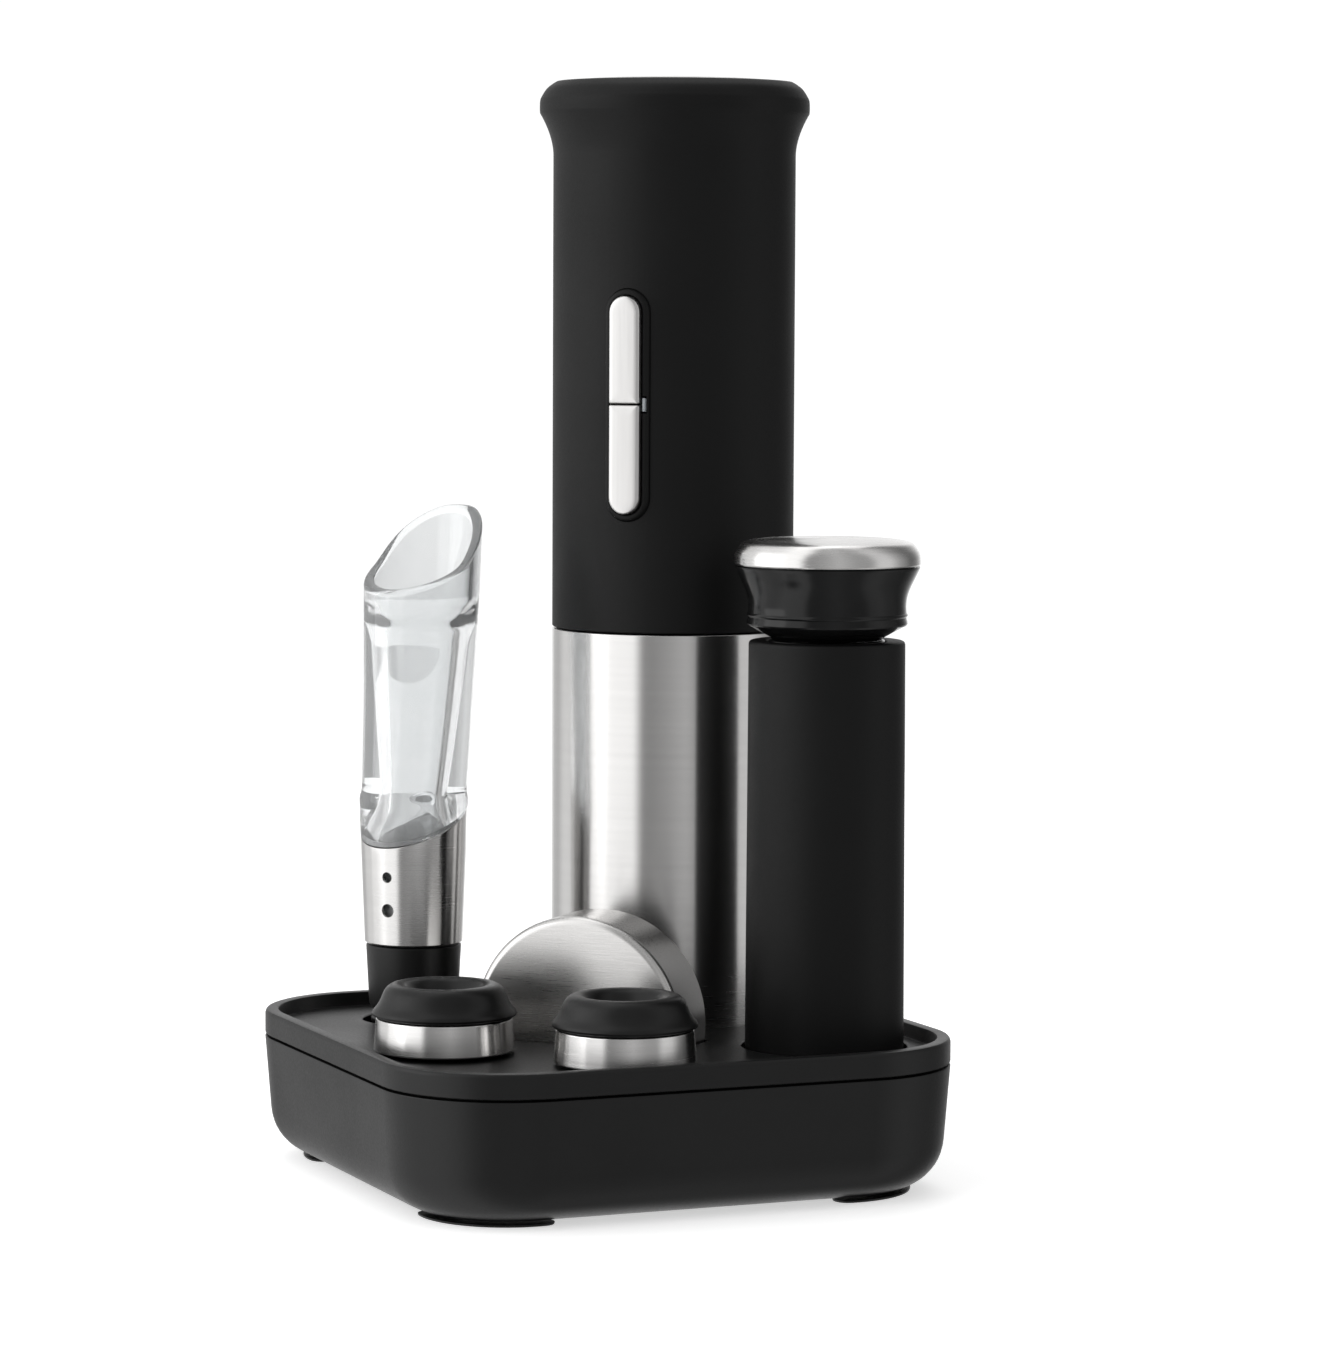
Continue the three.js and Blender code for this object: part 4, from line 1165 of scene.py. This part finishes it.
        install(motor, STEEL_TUBE, "opener", ["motor"])

    def build(self) -> None:
        """Builds the casing, buttons, guides and power pack."""
        self.tube()
        self.handle()
        self.bezel()
        low, high = self.button_span
        self.button("button_up", self.split + self.button_gap, high, True)
        self.button("button_down", low, self.split - self.button_gap, False)
        self.lens()
        self.cap()
        self.guides()
        self.power()


@dataclass
class Drive(Turnery):
    """Gear train, carriage and the corkscrew itself."""

    axis_node: ClassVar[str] = "steel_tube"
    body: ClassVar[str] = "worm_unit"
    worm_radius: float = 3.1
    wire: float = 1.3
    pitch: float = 9.0
    tip: float = 54.4
    turn_start: float = 53.5
    wire_top: float = 101.0
    rings: int = 260
    facets: int = 20

    def worm(self) -> None:
        """The corkscrew: a round wire wound right-handed, ground to a point, under a plain shank."""
        axis = Vector((*self.centre, 0))
        loops = []
        for i in range(self.rings + 1):
            z = self.tip + (self.wire_top - self.tip) * i / self.rings
            turn = 2 * math.pi * (z - self.turn_start) / self.pitch
            away = (z - self.tip) / self.pitch
            thickness = self.wire * min(1.0, 0.06 + 1.25 * away) if away < 0.76 else self.wire
            centre = Vector((self.worm_radius * math.cos(turn), self.worm_radius * math.sin(turn), z))
            rise = self.pitch / (2 * math.pi * self.worm_radius)
            ahead = Vector((-math.sin(turn), math.cos(turn), rise)).normalized()
            outward = Vector((math.cos(turn), math.sin(turn), 0))
            across = ahead.cross(outward)
            loops.append([centre + axis + thickness * (outward * math.cos(a) + across * math.sin(a))
                          for a in _sweep(0, 2 * math.pi, self.facets)[:-1]])
        wire = skin("corkscrew", loops)
        shank = rounded([(0, 99.8), (4.7, 99.8, 0.6), (4.7, 103.7, 0.4), (0, 103.7)])
        combine(wire, [turned("shank", shank, self.centre, facets=64)], Operation.JOIN)
        install(wire, STEEL_FIELD, "worm_unit", ["worm"])

    def carriage(self) -> None:
        """Carriage that holds the screw: round hub and a sleeve with a six-sided bore."""
        outline = rounded([(0, 99.5), (9.3, 99.5, 0.8), (9.3, 107.5, 0.8), (6.5, 107.5, 0.8),
                           (6.5, 165, 0.4), (0, 165)])
        piece = turned("screw_carriage", outline, self.centre, facets=96)
        bores = [cylinder("cut", self.centre, 3.8, 108, 166, 6),
                 cylinder("cut", self.centre, 5, 98, 104, 48)]
        combine(piece, bores, Operation.CUT)
        install(piece, INNER_PLASTIC, "worm_unit", ["worm_carriage"])

    def gears(self) -> None:
        """Gives the toothed pieces, whose shapes are already exact, their finishes."""
        finishes = {"ring_gear": GEAR_NYLON, "planet_carrier": STEEL_FIELD, "sun_gear": BRASS,
                    "switch_board": BOARD}
        finishes.update({f"planet_gear_{i}": GEAR_NYLON for i in range(1, 4)})
        for name, finish in finishes.items():
            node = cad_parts[name]
            for place in node.material_slots:
                place.material = material_of(finish)
            LOG.info("%s keeps its shape and takes %s", name, finish.name)

    def build(self) -> None:
        """Builds the drive."""
        self.worm()
        self.carriage()
        self.gears()


# ------------------------------------------------------------------ the vacuum pump


@dataclass
class VacuumPump(Turnery):
    """Pump that sits over a stopper: cylinder, piston, pull knob with a steel cap."""

    axis_node: ClassVar[str] = "pump_body"
    body: ClassVar[str] = "pump"
    bottom: float = 11.3
    top: float = 117.4
    bottom_radius: float = 17.2
    top_radius: float = 16.8
    seam: float = 133.6

    def build(self) -> None:
        """Builds the pump's pieces from the bottom up."""
        wall = [(14.4, self.bottom, 0.3), (self.bottom_radius, self.bottom, 0.5),
                (self.top_radius, self.top, 0.9), (12.8, self.top, 0.4), (12.8, 28.5), (2, 28.5), (2, 26),
                (14.4, 26, 1)]
        self.lathe("pump_cylinder", wall, "pump_body", SOFT_TOUCH, "soft_touch", facets=112)
        gland = [(4.5, 111), (12.5, 111), (12.5, 117.6, 0.5), (4.5, 117.6, 0.4)]
        self.lathe("pump_gland_ring", gland, "pump_gland", GLOSS_BLACK, "gloss_black", facets=112)
        rod = [(0, 33), (12.2, 33, 0.3), (12.2, 35, 0.3), (10.4, 35), (10.4, 38), (12.2, 38, 0.3),
               (12.2, 40, 0.3), (4.2, 40, 1.2), (4.2, 129.7, 0.6), (0, 129.7)]
        self.lathe("pump_piston_rod", rod, "pump_rod", INNER_PLASTIC, "inner_plastic", ring=False,
                   facets=112, body="pump_handle")
        seal = [(10.7, 35.3, 0.7), (12.5, 35.3, 1.1), (12.5, 37.7, 1.1), (10.7, 37.7, 0.7)]
        self.lathe("piston_ring", seal, "piston_seal", BLACK_RUBBER, "black_rubber", facets=112,
                   body="pump_handle")
        lips = [(12.8, 12.5, 0.5), (14.1, 12.5, 0.4), (14.1, 16.5, 0.4), (13.1, 16.5, 0.4),
                (13.5, 14.6, 0.5)]
        self.lathe("mouth_ring", lips, "pump_mouth_seal", BLACK_RUBBER, "black_rubber", facets=112)
        self.knob()
        self.cap()

    def cap(self) -> None:
        """Steel cap over the knob, with a low crown."""
        rim = self.seam + 0.1
        crown = flowing([(20.0, self.seam + 0.35), (19.98, 134.6), (19.85, 135.8), (19.2, 137.2),
                         (17.9, 138.5), (15.0, 139.05), (9, 139.35), (0, 139.5)], 6)
        outline = [(0, 137.6), (18.7, 137.6), (18.7, rim), (19.85, rim)] + crown
        piece = turned("knob_cap_shell", outline, self.centre, False, 128)
        install(piece, SATIN_STEEL, "pump_handle", ["knob_cap"])

    def knob(self) -> None:
        """Glossy pull knob: undercut foot with a thin bead, a concave waist and a flared top."""
        foot = [(0, 117.75), (11.9, 117.75), (12.1, 118.1), (16.5, 120.5), (17.05, 120.75),
                (17.25, 121.1), (17.2, 121.6), (17.05, 122.1), (17.0, 122.5)]
        bead = [(17.22, 122.75), (17.3, 122.95), (17.22, 123.15)]
        waist = flowing([(17.02, 123.4), (16.95, 125.2), (17.2, 127.0), (17.85, 128.9), (18.95, 131.2),
                         (19.8, self.seam - 0.6)], 6)
        seat = [(19.85, self.seam - 0.3), (19.7, self.seam - 0.2), (18.4, self.seam - 0.2),
                (18.4, 137.2), (0, 137.2)]
        piece = turned("pull_knob", foot + bead + waist + seat, self.centre, False, 128)
        combine(piece, [cylinder("cut", self.centre, 4.5, 117, 130, 48)], Operation.CUT)
        install(piece, GLOSS_BLACK, "pump_handle", ["pump_knob"])


# ------------------------------------------------------------------ the aerating pourer


@dataclass
class Pourer(Turnery):
    """Aerating pourer: ribbed plug, steel sleeve with a slanted rim, thick clear spout."""

    axis_node: ClassVar[str] = "pourer_sleeve"
    body: ClassVar[str] = "pourer"
    way: float = math.radians(76)
    slope: float = math.tan(math.radians(23.5))
    seam: float = 74.1
    facets: int = 128
    outside: Outline = ((11.35, 60), (11.7, 66.1), (12.1, 79.0), (12.02, 80.0), (11.75, 80.9),
                        (11.72, 82.5), (12.2, 105), (12.9, 125), (13.1, 146))
    inside: Outline = ((7.8, 50), (7.8, 71), (7.2, 73.5), (5.4, 77.5), (4.95, 80.5), (6.2, 97),
                       (7.4, 114), (8.1, 117.5), (9.5, 120), (10.4, 123), (11.0, 146))
    lip: Outline = ((-16, 123), (-10, 125.3), (-5, 127.6), (0, 130), (3, 131.9), (6.4, 135.3), (9.5, 138.4),
                    (12.2, 140.8), (14.3, 142.6), (16.6, 144.3), (19, 144.3))
    lip_edge: float = 0.9

    def __post_init__(self) -> None:
        """Keeps a smooth curve through the lip's points."""
        self.smooth_lip = flowing(self.lip, 10)

    @staticmethod
    def read(outline: Outline, at: float, key: int = 1, value: int = 0) -> float:
        """Reads an outline between its points.

        Args:
            outline: the outline, sorted by what is looked up.
            at: the place to read.
            key: which number of a point is looked up.
            value: which number of a point is read.

        Returns:
            The value at that place.
        """
        for low, high in zip(outline, outline[1:]):
            if at <= high[key]:
                share = (at - low[key]) / (high[key] - low[key])
                return low[value] + (high[value] - low[value]) * max(0.0, share)
        return outline[-1][value]

    @staticmethod
    def lean(z: float) -> float:
        """How far the spout's middle has moved towards the pouring side."""
        return 3.0 * max(0.0, (z - 80) / 50) ** 0.8

    def lip_height(self, outline: Outline, angle: float) -> float:
        """Height where a wall meets the scooped lip.

        Args:
            outline: the wall's (radius, height) points.
            angle: the angle from the pouring side.

        Returns:
            The height in millimetres.
        """
        low, high = 100.0, 145.0
        for _ in range(30):
            z = (low + high) / 2
            t = self.lean(z) + self.read(outline, z) * math.cos(angle)
            if z < self.read(self.smooth_lip, t, 0, 1):
                low = z
            else:
                high = z
        return low

    def wall(self, name: str, column: Callable[[float], Flat], leaning: bool) -> Piece:
        """Builds a closed wall from an outline that changes round the axis.

        Args:
            name: the piece's name.
            column: gives the outline, as (radius, height) pairs, at an angle from the pouring side.
            leaning: whether the outline follows the spout's lean.

        Returns:
            The closed piece.
        """
        x0, y0 = self.centre
        columns = [column(2 * math.pi * i / self.facets) for i in range(self.facets)]
        loops = []
        for level in range(len(columns[0])):
            loop = []
            for i, points in enumerate(columns):
                radius, z = points[level]
                angle = 2 * math.pi * i / self.facets
                t = radius * math.cos(angle) + (self.lean(z) if leaning else 0.0)
                s = radius * math.sin(angle)
                loop.append((x0 + t * math.cos(self.way) - s * math.sin(self.way),
                             y0 + t * math.sin(self.way) + s * math.cos(self.way), z))
            loops.append(loop)
        return skin(name, loops, ring=True)

    def spout_column(self, angle: float) -> Flat:
        """The spout's outline at one angle: seam, outer wall, rounded lip, bore, stem.

        Args:
            angle: the angle from the pouring side.

        Returns:
            The (radius, height) points, as many at every angle.
        """
        seam = self.seam + 0.35
        foot = seam + self.slope * 11.8 * math.cos(angle)
        foot_in = seam + self.slope * 9.6 * math.cos(angle)
        top = self.lip_height(self.outside, angle)
        top_in = self.lip_height(self.inside, angle)
        rising = _sweep(foot, 84.0, 16) + _sweep(84.0, top - self.lip_edge, 24)[1:]
        outer = [(self.read(self.outside, z), z) for z in rising]
        soft = self.soft_lip((self.read(self.outside, top), top), (self.read(self.inside, top_in), top_in))
        levels = _sweep(top_in - self.lip_edge, 113.0, 20) + _sweep(113.0, 82.0, 10)[1:]
        levels += _sweep(82.0, 51.4, 16)[1:]
        inner = [(self.read(self.inside, z), z) for z in levels]
        stem = [(8.1, 51.0), (9.2, 51.0), (9.6, 51.4), (9.6, foot_in)]
        return outer + soft + inner + stem

    def soft_lip(self, outer: tuple[float, float], inner: tuple[float, float]) -> Flat:
        """The lip's cross-section: both corners rounded, and a flat between them.

        Args:
            outer: the outer corner, as (radius, height).
            inner: the inner corner.

        Returns:
            The cross-section's points, from outside to inside.
        """
        a, b = Vector(outer), Vector(inner)
        down = Vector((0, -self.lip_edge))
        along = (b - a).normalized() * min(self.lip_edge, 0.42 * (a - b).length)
        points = [(a + down).lerp(a, t).lerp(a.lerp(a + along, t), t)
                  for t in (0.15, 0.35, 0.55, 0.75, 1.0)]
        points += [(b - along).lerp(b, t).lerp(b.lerp(b + down, t), t)
                   for t in (0.0, 0.25, 0.45, 0.65, 0.85)]
        return [(p.x, p.y) for p in points]

    def sleeve_column(self, angle: float) -> Flat:
        """The sleeve's outline at one angle, up to its slanted rim.

        Args:
            angle: the angle from the pouring side.

        Returns:
            The (radius, height) points, as many at every angle.
        """
        outside = ((10.9, 47.2), (11.7, 68), (11.9, 81))
        inside = ((4.4, 47.2), (10.1, 49), (10.9, 68), (11.1, 81))
        rim = self.seam + self.slope * 11.8 * math.cos(angle)
        rim_in = self.seam + self.slope * 11.0 * math.cos(angle)
        outer = [(self.read(outside, z), z) for z in _sweep(47.5, rim - 0.2, 16)]
        inner = [(self.read(inside, z), z) for z in _sweep(rim_in, 49.1, 14)]
        lip = [(outer[-1][0] - 0.08, rim - 0.05), (outer[-1][0] - 0.22, rim)]
        return [(4.4, 47.2), (10.6, 47.2)] + outer + lip + inner + [(4.4, 49.0)]

    def build(self) -> None:
        """Builds the plug, the sleeve with its air holes, and the spout."""
        plug = [(3.6, 11.3), (8.2, 11.3, 0.6), (8.6, 13)]
        for i in range(6):
            z = 14.5 + i * 3.0
            plug += [(9.5, z, 0.4), (9.5, z + 0.8, 0.4), (8.7, z + 1.5, 0.3), (8.7, z + 2.3, 0.3)]
        plug += [(9.9, 33.5, 0.8), (10.6, 46.9, 0.5), (3.6, 46.9)]
        piece = turned("pourer_stopper", rounded(plug, closed=True, steps=3), self.centre, True, 72)
        install(piece, BLACK_RUBBER, "pourer", ["pourer_plug"])
        sleeve = self.wall("pourer_sleeve_skin", self.sleeve_column, False)
        combine(sleeve, [self.air_hole(55.2, 1.5), self.air_hole(62.6, 1.2)], Operation.CUT)
        install(sleeve, STEEL_TUBE, "pourer", ["pourer_sleeve"])
        spout = self.wall("clear_spout", self.spout_column, True)
        install(spout, ACRYLIC, "pourer", ["pourer_spout"])

    def air_hole(self, z: float, radius: float) -> Piece:
        """A drill through the sleeve's front wall.

        Args:
            z: the hole's height.
            radius: the hole's radius.

        Returns:
            The drill.
        """
        drill = cylinder("cut", (0, 0), radius, 5, 15, 40)
        turn = Matrix.Rotation(math.radians(-6), 4, "Z") @ Matrix.Rotation(QUARTER_TURN, 4, "X")
        return move_mesh(drill, Matrix.Translation(Vector((*self.centre, z)) * MM) @ turn)


# ------------------------------------------------------------------ the stoppers


@dataclass
class Stopper:
    """Vacuum stopper: finned rubber plug, steel ring, dished rubber cap."""

    side: str

    def build(self) -> None:
        """Builds the rubber and the ring."""
        body = f"stopper_{self.side}"
        centre = node_centre(f"{body}_ring")
        low = [(0, 13), (8.0, 13, 0.6)]
        for i in range(4):
            z = 15.0 + i * 3.2
            low += [(9.3, z + 0.4, 0.4), (9.3, z + 1.0, 0.4), (8.3, z + 1.6, 0.4), (8.3, z + 2.6, 0.4)]
        low += [(9.3, 29.5, 0.4), (9.5, 30.3), (13.3, 30.3), (13.4, 30.5), (11.9, 30.5), (11.9, 38.1)]
        cap = [(14.9, 38.1), (15.3, 38.35), (15.4, 38.75), (15.25, 39.2)]
        torus = flowing([(14.95, 39.55), (14.2, 40.5), (13.6, 41.6), (13.15, 42.7), (12.6, 43.75),
                         (11.7, 44.6), (10.6, 44.97), (9.5, 44.9), (8.5, 44.4), (7.7, 43.5), (6.9, 42.4),
                         (6.1, 41.65), (5.0, 41.3)], 5)
        dish = [(2.5, 41.2), (0, 41.2)]
        piece = turned(f"{body}_plug", rounded(low) + cap + torus + dish, centre, False, 112)
        install(piece, BLACK_RUBBER, body, [f"{body}_rubber"])
        outline = rounded([(12.2, 30.8), (15.1, 30.8, 0.4), (14.6, 37.8, 0.4), (12.2, 37.8)], closed=True)
        ring = turned(f"{body}_band", outline, centre, True, 112)
        install(ring, BAND_STEEL, body, [f"{body}_ring"])


# ------------------------------------------------------------------ the foil cutter


@dataclass
class FoilCutter:
    """Foil cutter: a steel cup on edge, a plastic core and four cutting wheels."""

    face: float = -15.0
    height: float = 33.6
    wheel_radius: float = 4.2
    pin_reach: float = 16.2

    def stand_up(self, piece: Piece) -> Piece:
        """Turns a piece made round Z so that its foot is the cutter's front face."""
        place = Matrix.Translation((0, self.face * MM, self.height * MM))
        return move_mesh(piece, place @ Matrix.Rotation(-QUARTER_TURN, 4, "X"))

    def build(self) -> None:
        """Builds the cup, the core and the wheels."""
        self.cup()
        self.core()
        self.wheels()

    def cup(self) -> None:
        """Brushed steel cup whose flat bottom faces the front."""
        outline = [(0, 0), (22.2, 0.0), (22.7, 0.06), (23.2, 0.28), (23.65, 0.7), (23.9, 1.2), (24.0, 1.8),
                   (24, 15.7), (23.9, 15.95), (23.7, 16), (23.2, 16), (23.0, 15.8), (23, 1.6), (22.6, 1.4),
                   (0, 1.4)]
        shell = self.stand_up(turned("foil_cutter_cup", outline, (0, 0), False, 144))
        install(shell, STEEL_DISC, "foil_cutter", ["foil_shell"])

    def core(self) -> None:
        """Plastic core with the mouth, the wheels' groove and their pins."""
        outline = [(0, 1.7), (22.7, 1.7), (22.7, 15.6, 0.4), (15.7, 15.6, 0.6), (14.5, 14, 0.6),
                   (14.5, 11.2), (20.8, 11.2), (20.8, 8.8), (14.5, 8.8), (14.5, 4.2), (0, 4.2)]
        piece = turned("foil_cutter_core", rounded(outline), (0, 0), False, 112)
        reach = self.pin_reach / math.sqrt(2)
        pins = [cylinder("pin", (sx * reach, sy * reach), 0.9, 8.5, 11.5, 24)
                for sx, sy in ((1, 1), (-1, 1), (-1, -1), (1, -1))]
        combine(piece, pins, Operation.JOIN)
        install(self.stand_up(piece), INNER_PLASTIC, "foil_cutter", ["foil_core"])

    def wheels(self) -> None:
        """The four cutting wheels."""
        r = self.wheel_radius
        outline = [(1.2, 9.4), (r - 1.0, 9.4), (r - 0.25, 9.8), (r, 10.0), (r - 0.25, 10.2), (r - 1.0, 10.6),
                   (1.2, 10.6)]
        for i in range(1, 5):
            middle = node_centre(f"foil_wheel_{i}")
            local = (middle.x, self.height - middle.z)
            wheel = self.stand_up(turned(f"cutting_wheel_{i}", outline, local, True, 64))
            install(wheel, STEEL_FIELD, f"foil_wheel_{i}", [f"foil_wheel_{i}"])


# ------------------------------------------------------------------ the studio


@dataclass(frozen=True)
class SoftBox:
    """A rectangular soft light: places in metres, power in watts."""

    name: str
    place: tuple[float, float, float]
    size: tuple[float, float]
    power: float
    aim: tuple[float, float, float] = (0, 0, 0.1)

    def build(self) -> None:
        """Hangs the light and aims it."""
        data = bpy.data.lights.new(self.name, "AREA")
        data.shape = "RECTANGLE"
        data.size, data.size_y = self.size
        data.energy = self.power
        lamp = bpy.data.objects.new(self.name, data)
        bpy.context.scene.collection.objects.link(lamp)
        lamp.location = self.place
        look = Vector(self.aim) - Vector(self.place)
        lamp.rotation_euler = look.to_track_quat("-Z", "Y").to_euler()


BOXES = (SoftBox("left_box", (-1.9, -1.0, 0.75), (1.6, 1.6), 9.5),
         SoftBox("top_box", (-0.3, 0.6, 2.2), (1.8, 1.4), 7.0))

# Brightness round the horizon by compass angle in degrees: 0 is +Y, 90 is +X.
HORIZON = ((-180, 0.36), (-174, 0.34), (-169, 0.9), (-165, 1.45), (-130, 1.5), (-121, 1.2), (-112, 1.0),
           (-75, 0.95), (-62, 0.62), (-46, 0.62), (-37, 1.0), (-23, 1.06), (-7, 1.1), (1, 0.75),
           (10, 0.45), (20, 0.22), (35, 0.14), (60, 0.45), (75, 0.8), (92, 0.8), (104, 0.4), (122, 0.42),
           (145, 0.6), (162, 0.46), (178, 0.36))


@dataclass
class Studio:
    """Plain pale floor, two soft boxes, shaded surroundings and the camera."""

    eye: tuple[float, float, float] = (0.4116, -0.9787, 0.19215)
    heading: float = math.radians(22.05)
    pitch: float = math.radians(4.57)
    roll: float = math.radians(0.26)
    lens: float = 129.5
    sensor: float = 36.0
    floor_radius: float = 900.0
    floor_glow: float = 0.55

    def camera(self) -> None:
        """Sets up the camera."""
        forward = Vector((-math.sin(self.heading), math.cos(self.heading), 0))
        right = Vector((math.cos(self.heading), math.sin(self.heading), 0))
        up = Vector((0, 0, 1))
        look = forward * math.cos(self.pitch) - up * math.sin(self.pitch)
        above = up * math.cos(self.pitch) + forward * math.sin(self.pitch)
        side = right * math.cos(self.roll) + above * math.sin(self.roll)
        top = above * math.cos(self.roll) - right * math.sin(self.roll)
        data = bpy.data.cameras.new("camera")
        data.lens = self.lens
        data.sensor_width = self.sensor
        data.clip_start, data.clip_end = 0.05, 50
        camera = bpy.data.objects.new("camera", data)
        bpy.context.scene.collection.objects.link(camera)
        axes = Matrix((side, top, -look)).transposed().to_4x4()
        camera.matrix_world = Matrix.Translation(self.eye) @ axes
        bpy.context.scene.camera = camera

    def world(self) -> None:
        """Surroundings: bright to the left, grey in front and to the right, dark to the back right."""
        world = bpy.data.worlds.new("studio")
        bpy.context.scene.world = world
        world.use_nodes = True
        tree = world.node_tree
        way = tree.nodes.new("ShaderNodeTexCoord").outputs["Generated"]
        parts = tree.nodes.new("ShaderNodeSeparateXYZ")
        tree.links.new(way, parts.inputs[0])
        turn = tree.nodes.new("ShaderNodeMath")
        turn.operation = "ARCTAN2"
        tree.links.new(parts.outputs["X"], turn.inputs[0])
        tree.links.new(parts.outputs["Y"], turn.inputs[1])
        share = tree.nodes.new("ShaderNodeMapRange")
        share.inputs["From Min"].default_value = -math.pi
        share.inputs["From Max"].default_value = math.pi
        tree.links.new(turn.outputs[0], share.inputs["Value"])
        ramp = tree.nodes.new("ShaderNodeValToRGB")
        tree.links.new(share.outputs["Result"], ramp.inputs["Fac"])
        self.fill_ramp(ramp)
        tree.links.new(ramp.outputs["Color"], tree.nodes["Background"].inputs["Color"])

    @staticmethod
    def fill_ramp(ramp: bpy.types.Node) -> None:
        """Sets the horizon's brightness in a colour ramp, from -180 to 180 degrees.

        Args:
            ramp: the ramp's node, with two stops to begin with.
        """
        elements = ramp.color_ramp.elements
        for i, (angle, value) in enumerate(HORIZON):
            position = (angle + 180) / 360
            stop = elements[i] if i < 2 else elements.new(position)
            stop.position = position
            stop.color = (value, value, value, 1)

    def floor(self) -> None:
        """Wide pale floor."""
        rim = [(self.floor_radius * math.cos(a), self.floor_radius * math.sin(a), 0.0)
               for a in _sweep(0, 2 * math.pi, 96)[:-1]]
        floor = new_piece("floor", rim, [range(len(rim))])
        r = Recipe("floor_paper")
        grain = r.noise(r.place(), 60.0, 3.0)
        r.surface(Base_Color=r.shades(grain, grey(0.86), grey(0.88)), Roughness=0.85)
        r.surface(Emission_Color=(1, 1, 1, 1), Emission_Strength=self.floor_glow)
        floor.data.materials.append(r.material)
        floor.visible_glossy = False

    def build(self) -> None:
        """Sets up the floor, lights, surroundings and camera."""
        self.floor()
        self.world()
        for box in BOXES:
            box.build()
        self.camera()
        bpy.context.scene.view_settings.view_transform = "Standard"


def main() -> None:
    """Builds every sub-assembly in order, then the studio."""
    logging.basicConfig(level=logging.INFO, format="%(name)s: %(message)s")
    Stand().build()
    Opener().build()
    Drive().build()
    VacuumPump().build()
    Pourer().build()
    for side in SIDES:
        Stopper(side).build()
    FoilCutter().build()
    Studio().build()


if __name__ == "__main__":
    main()
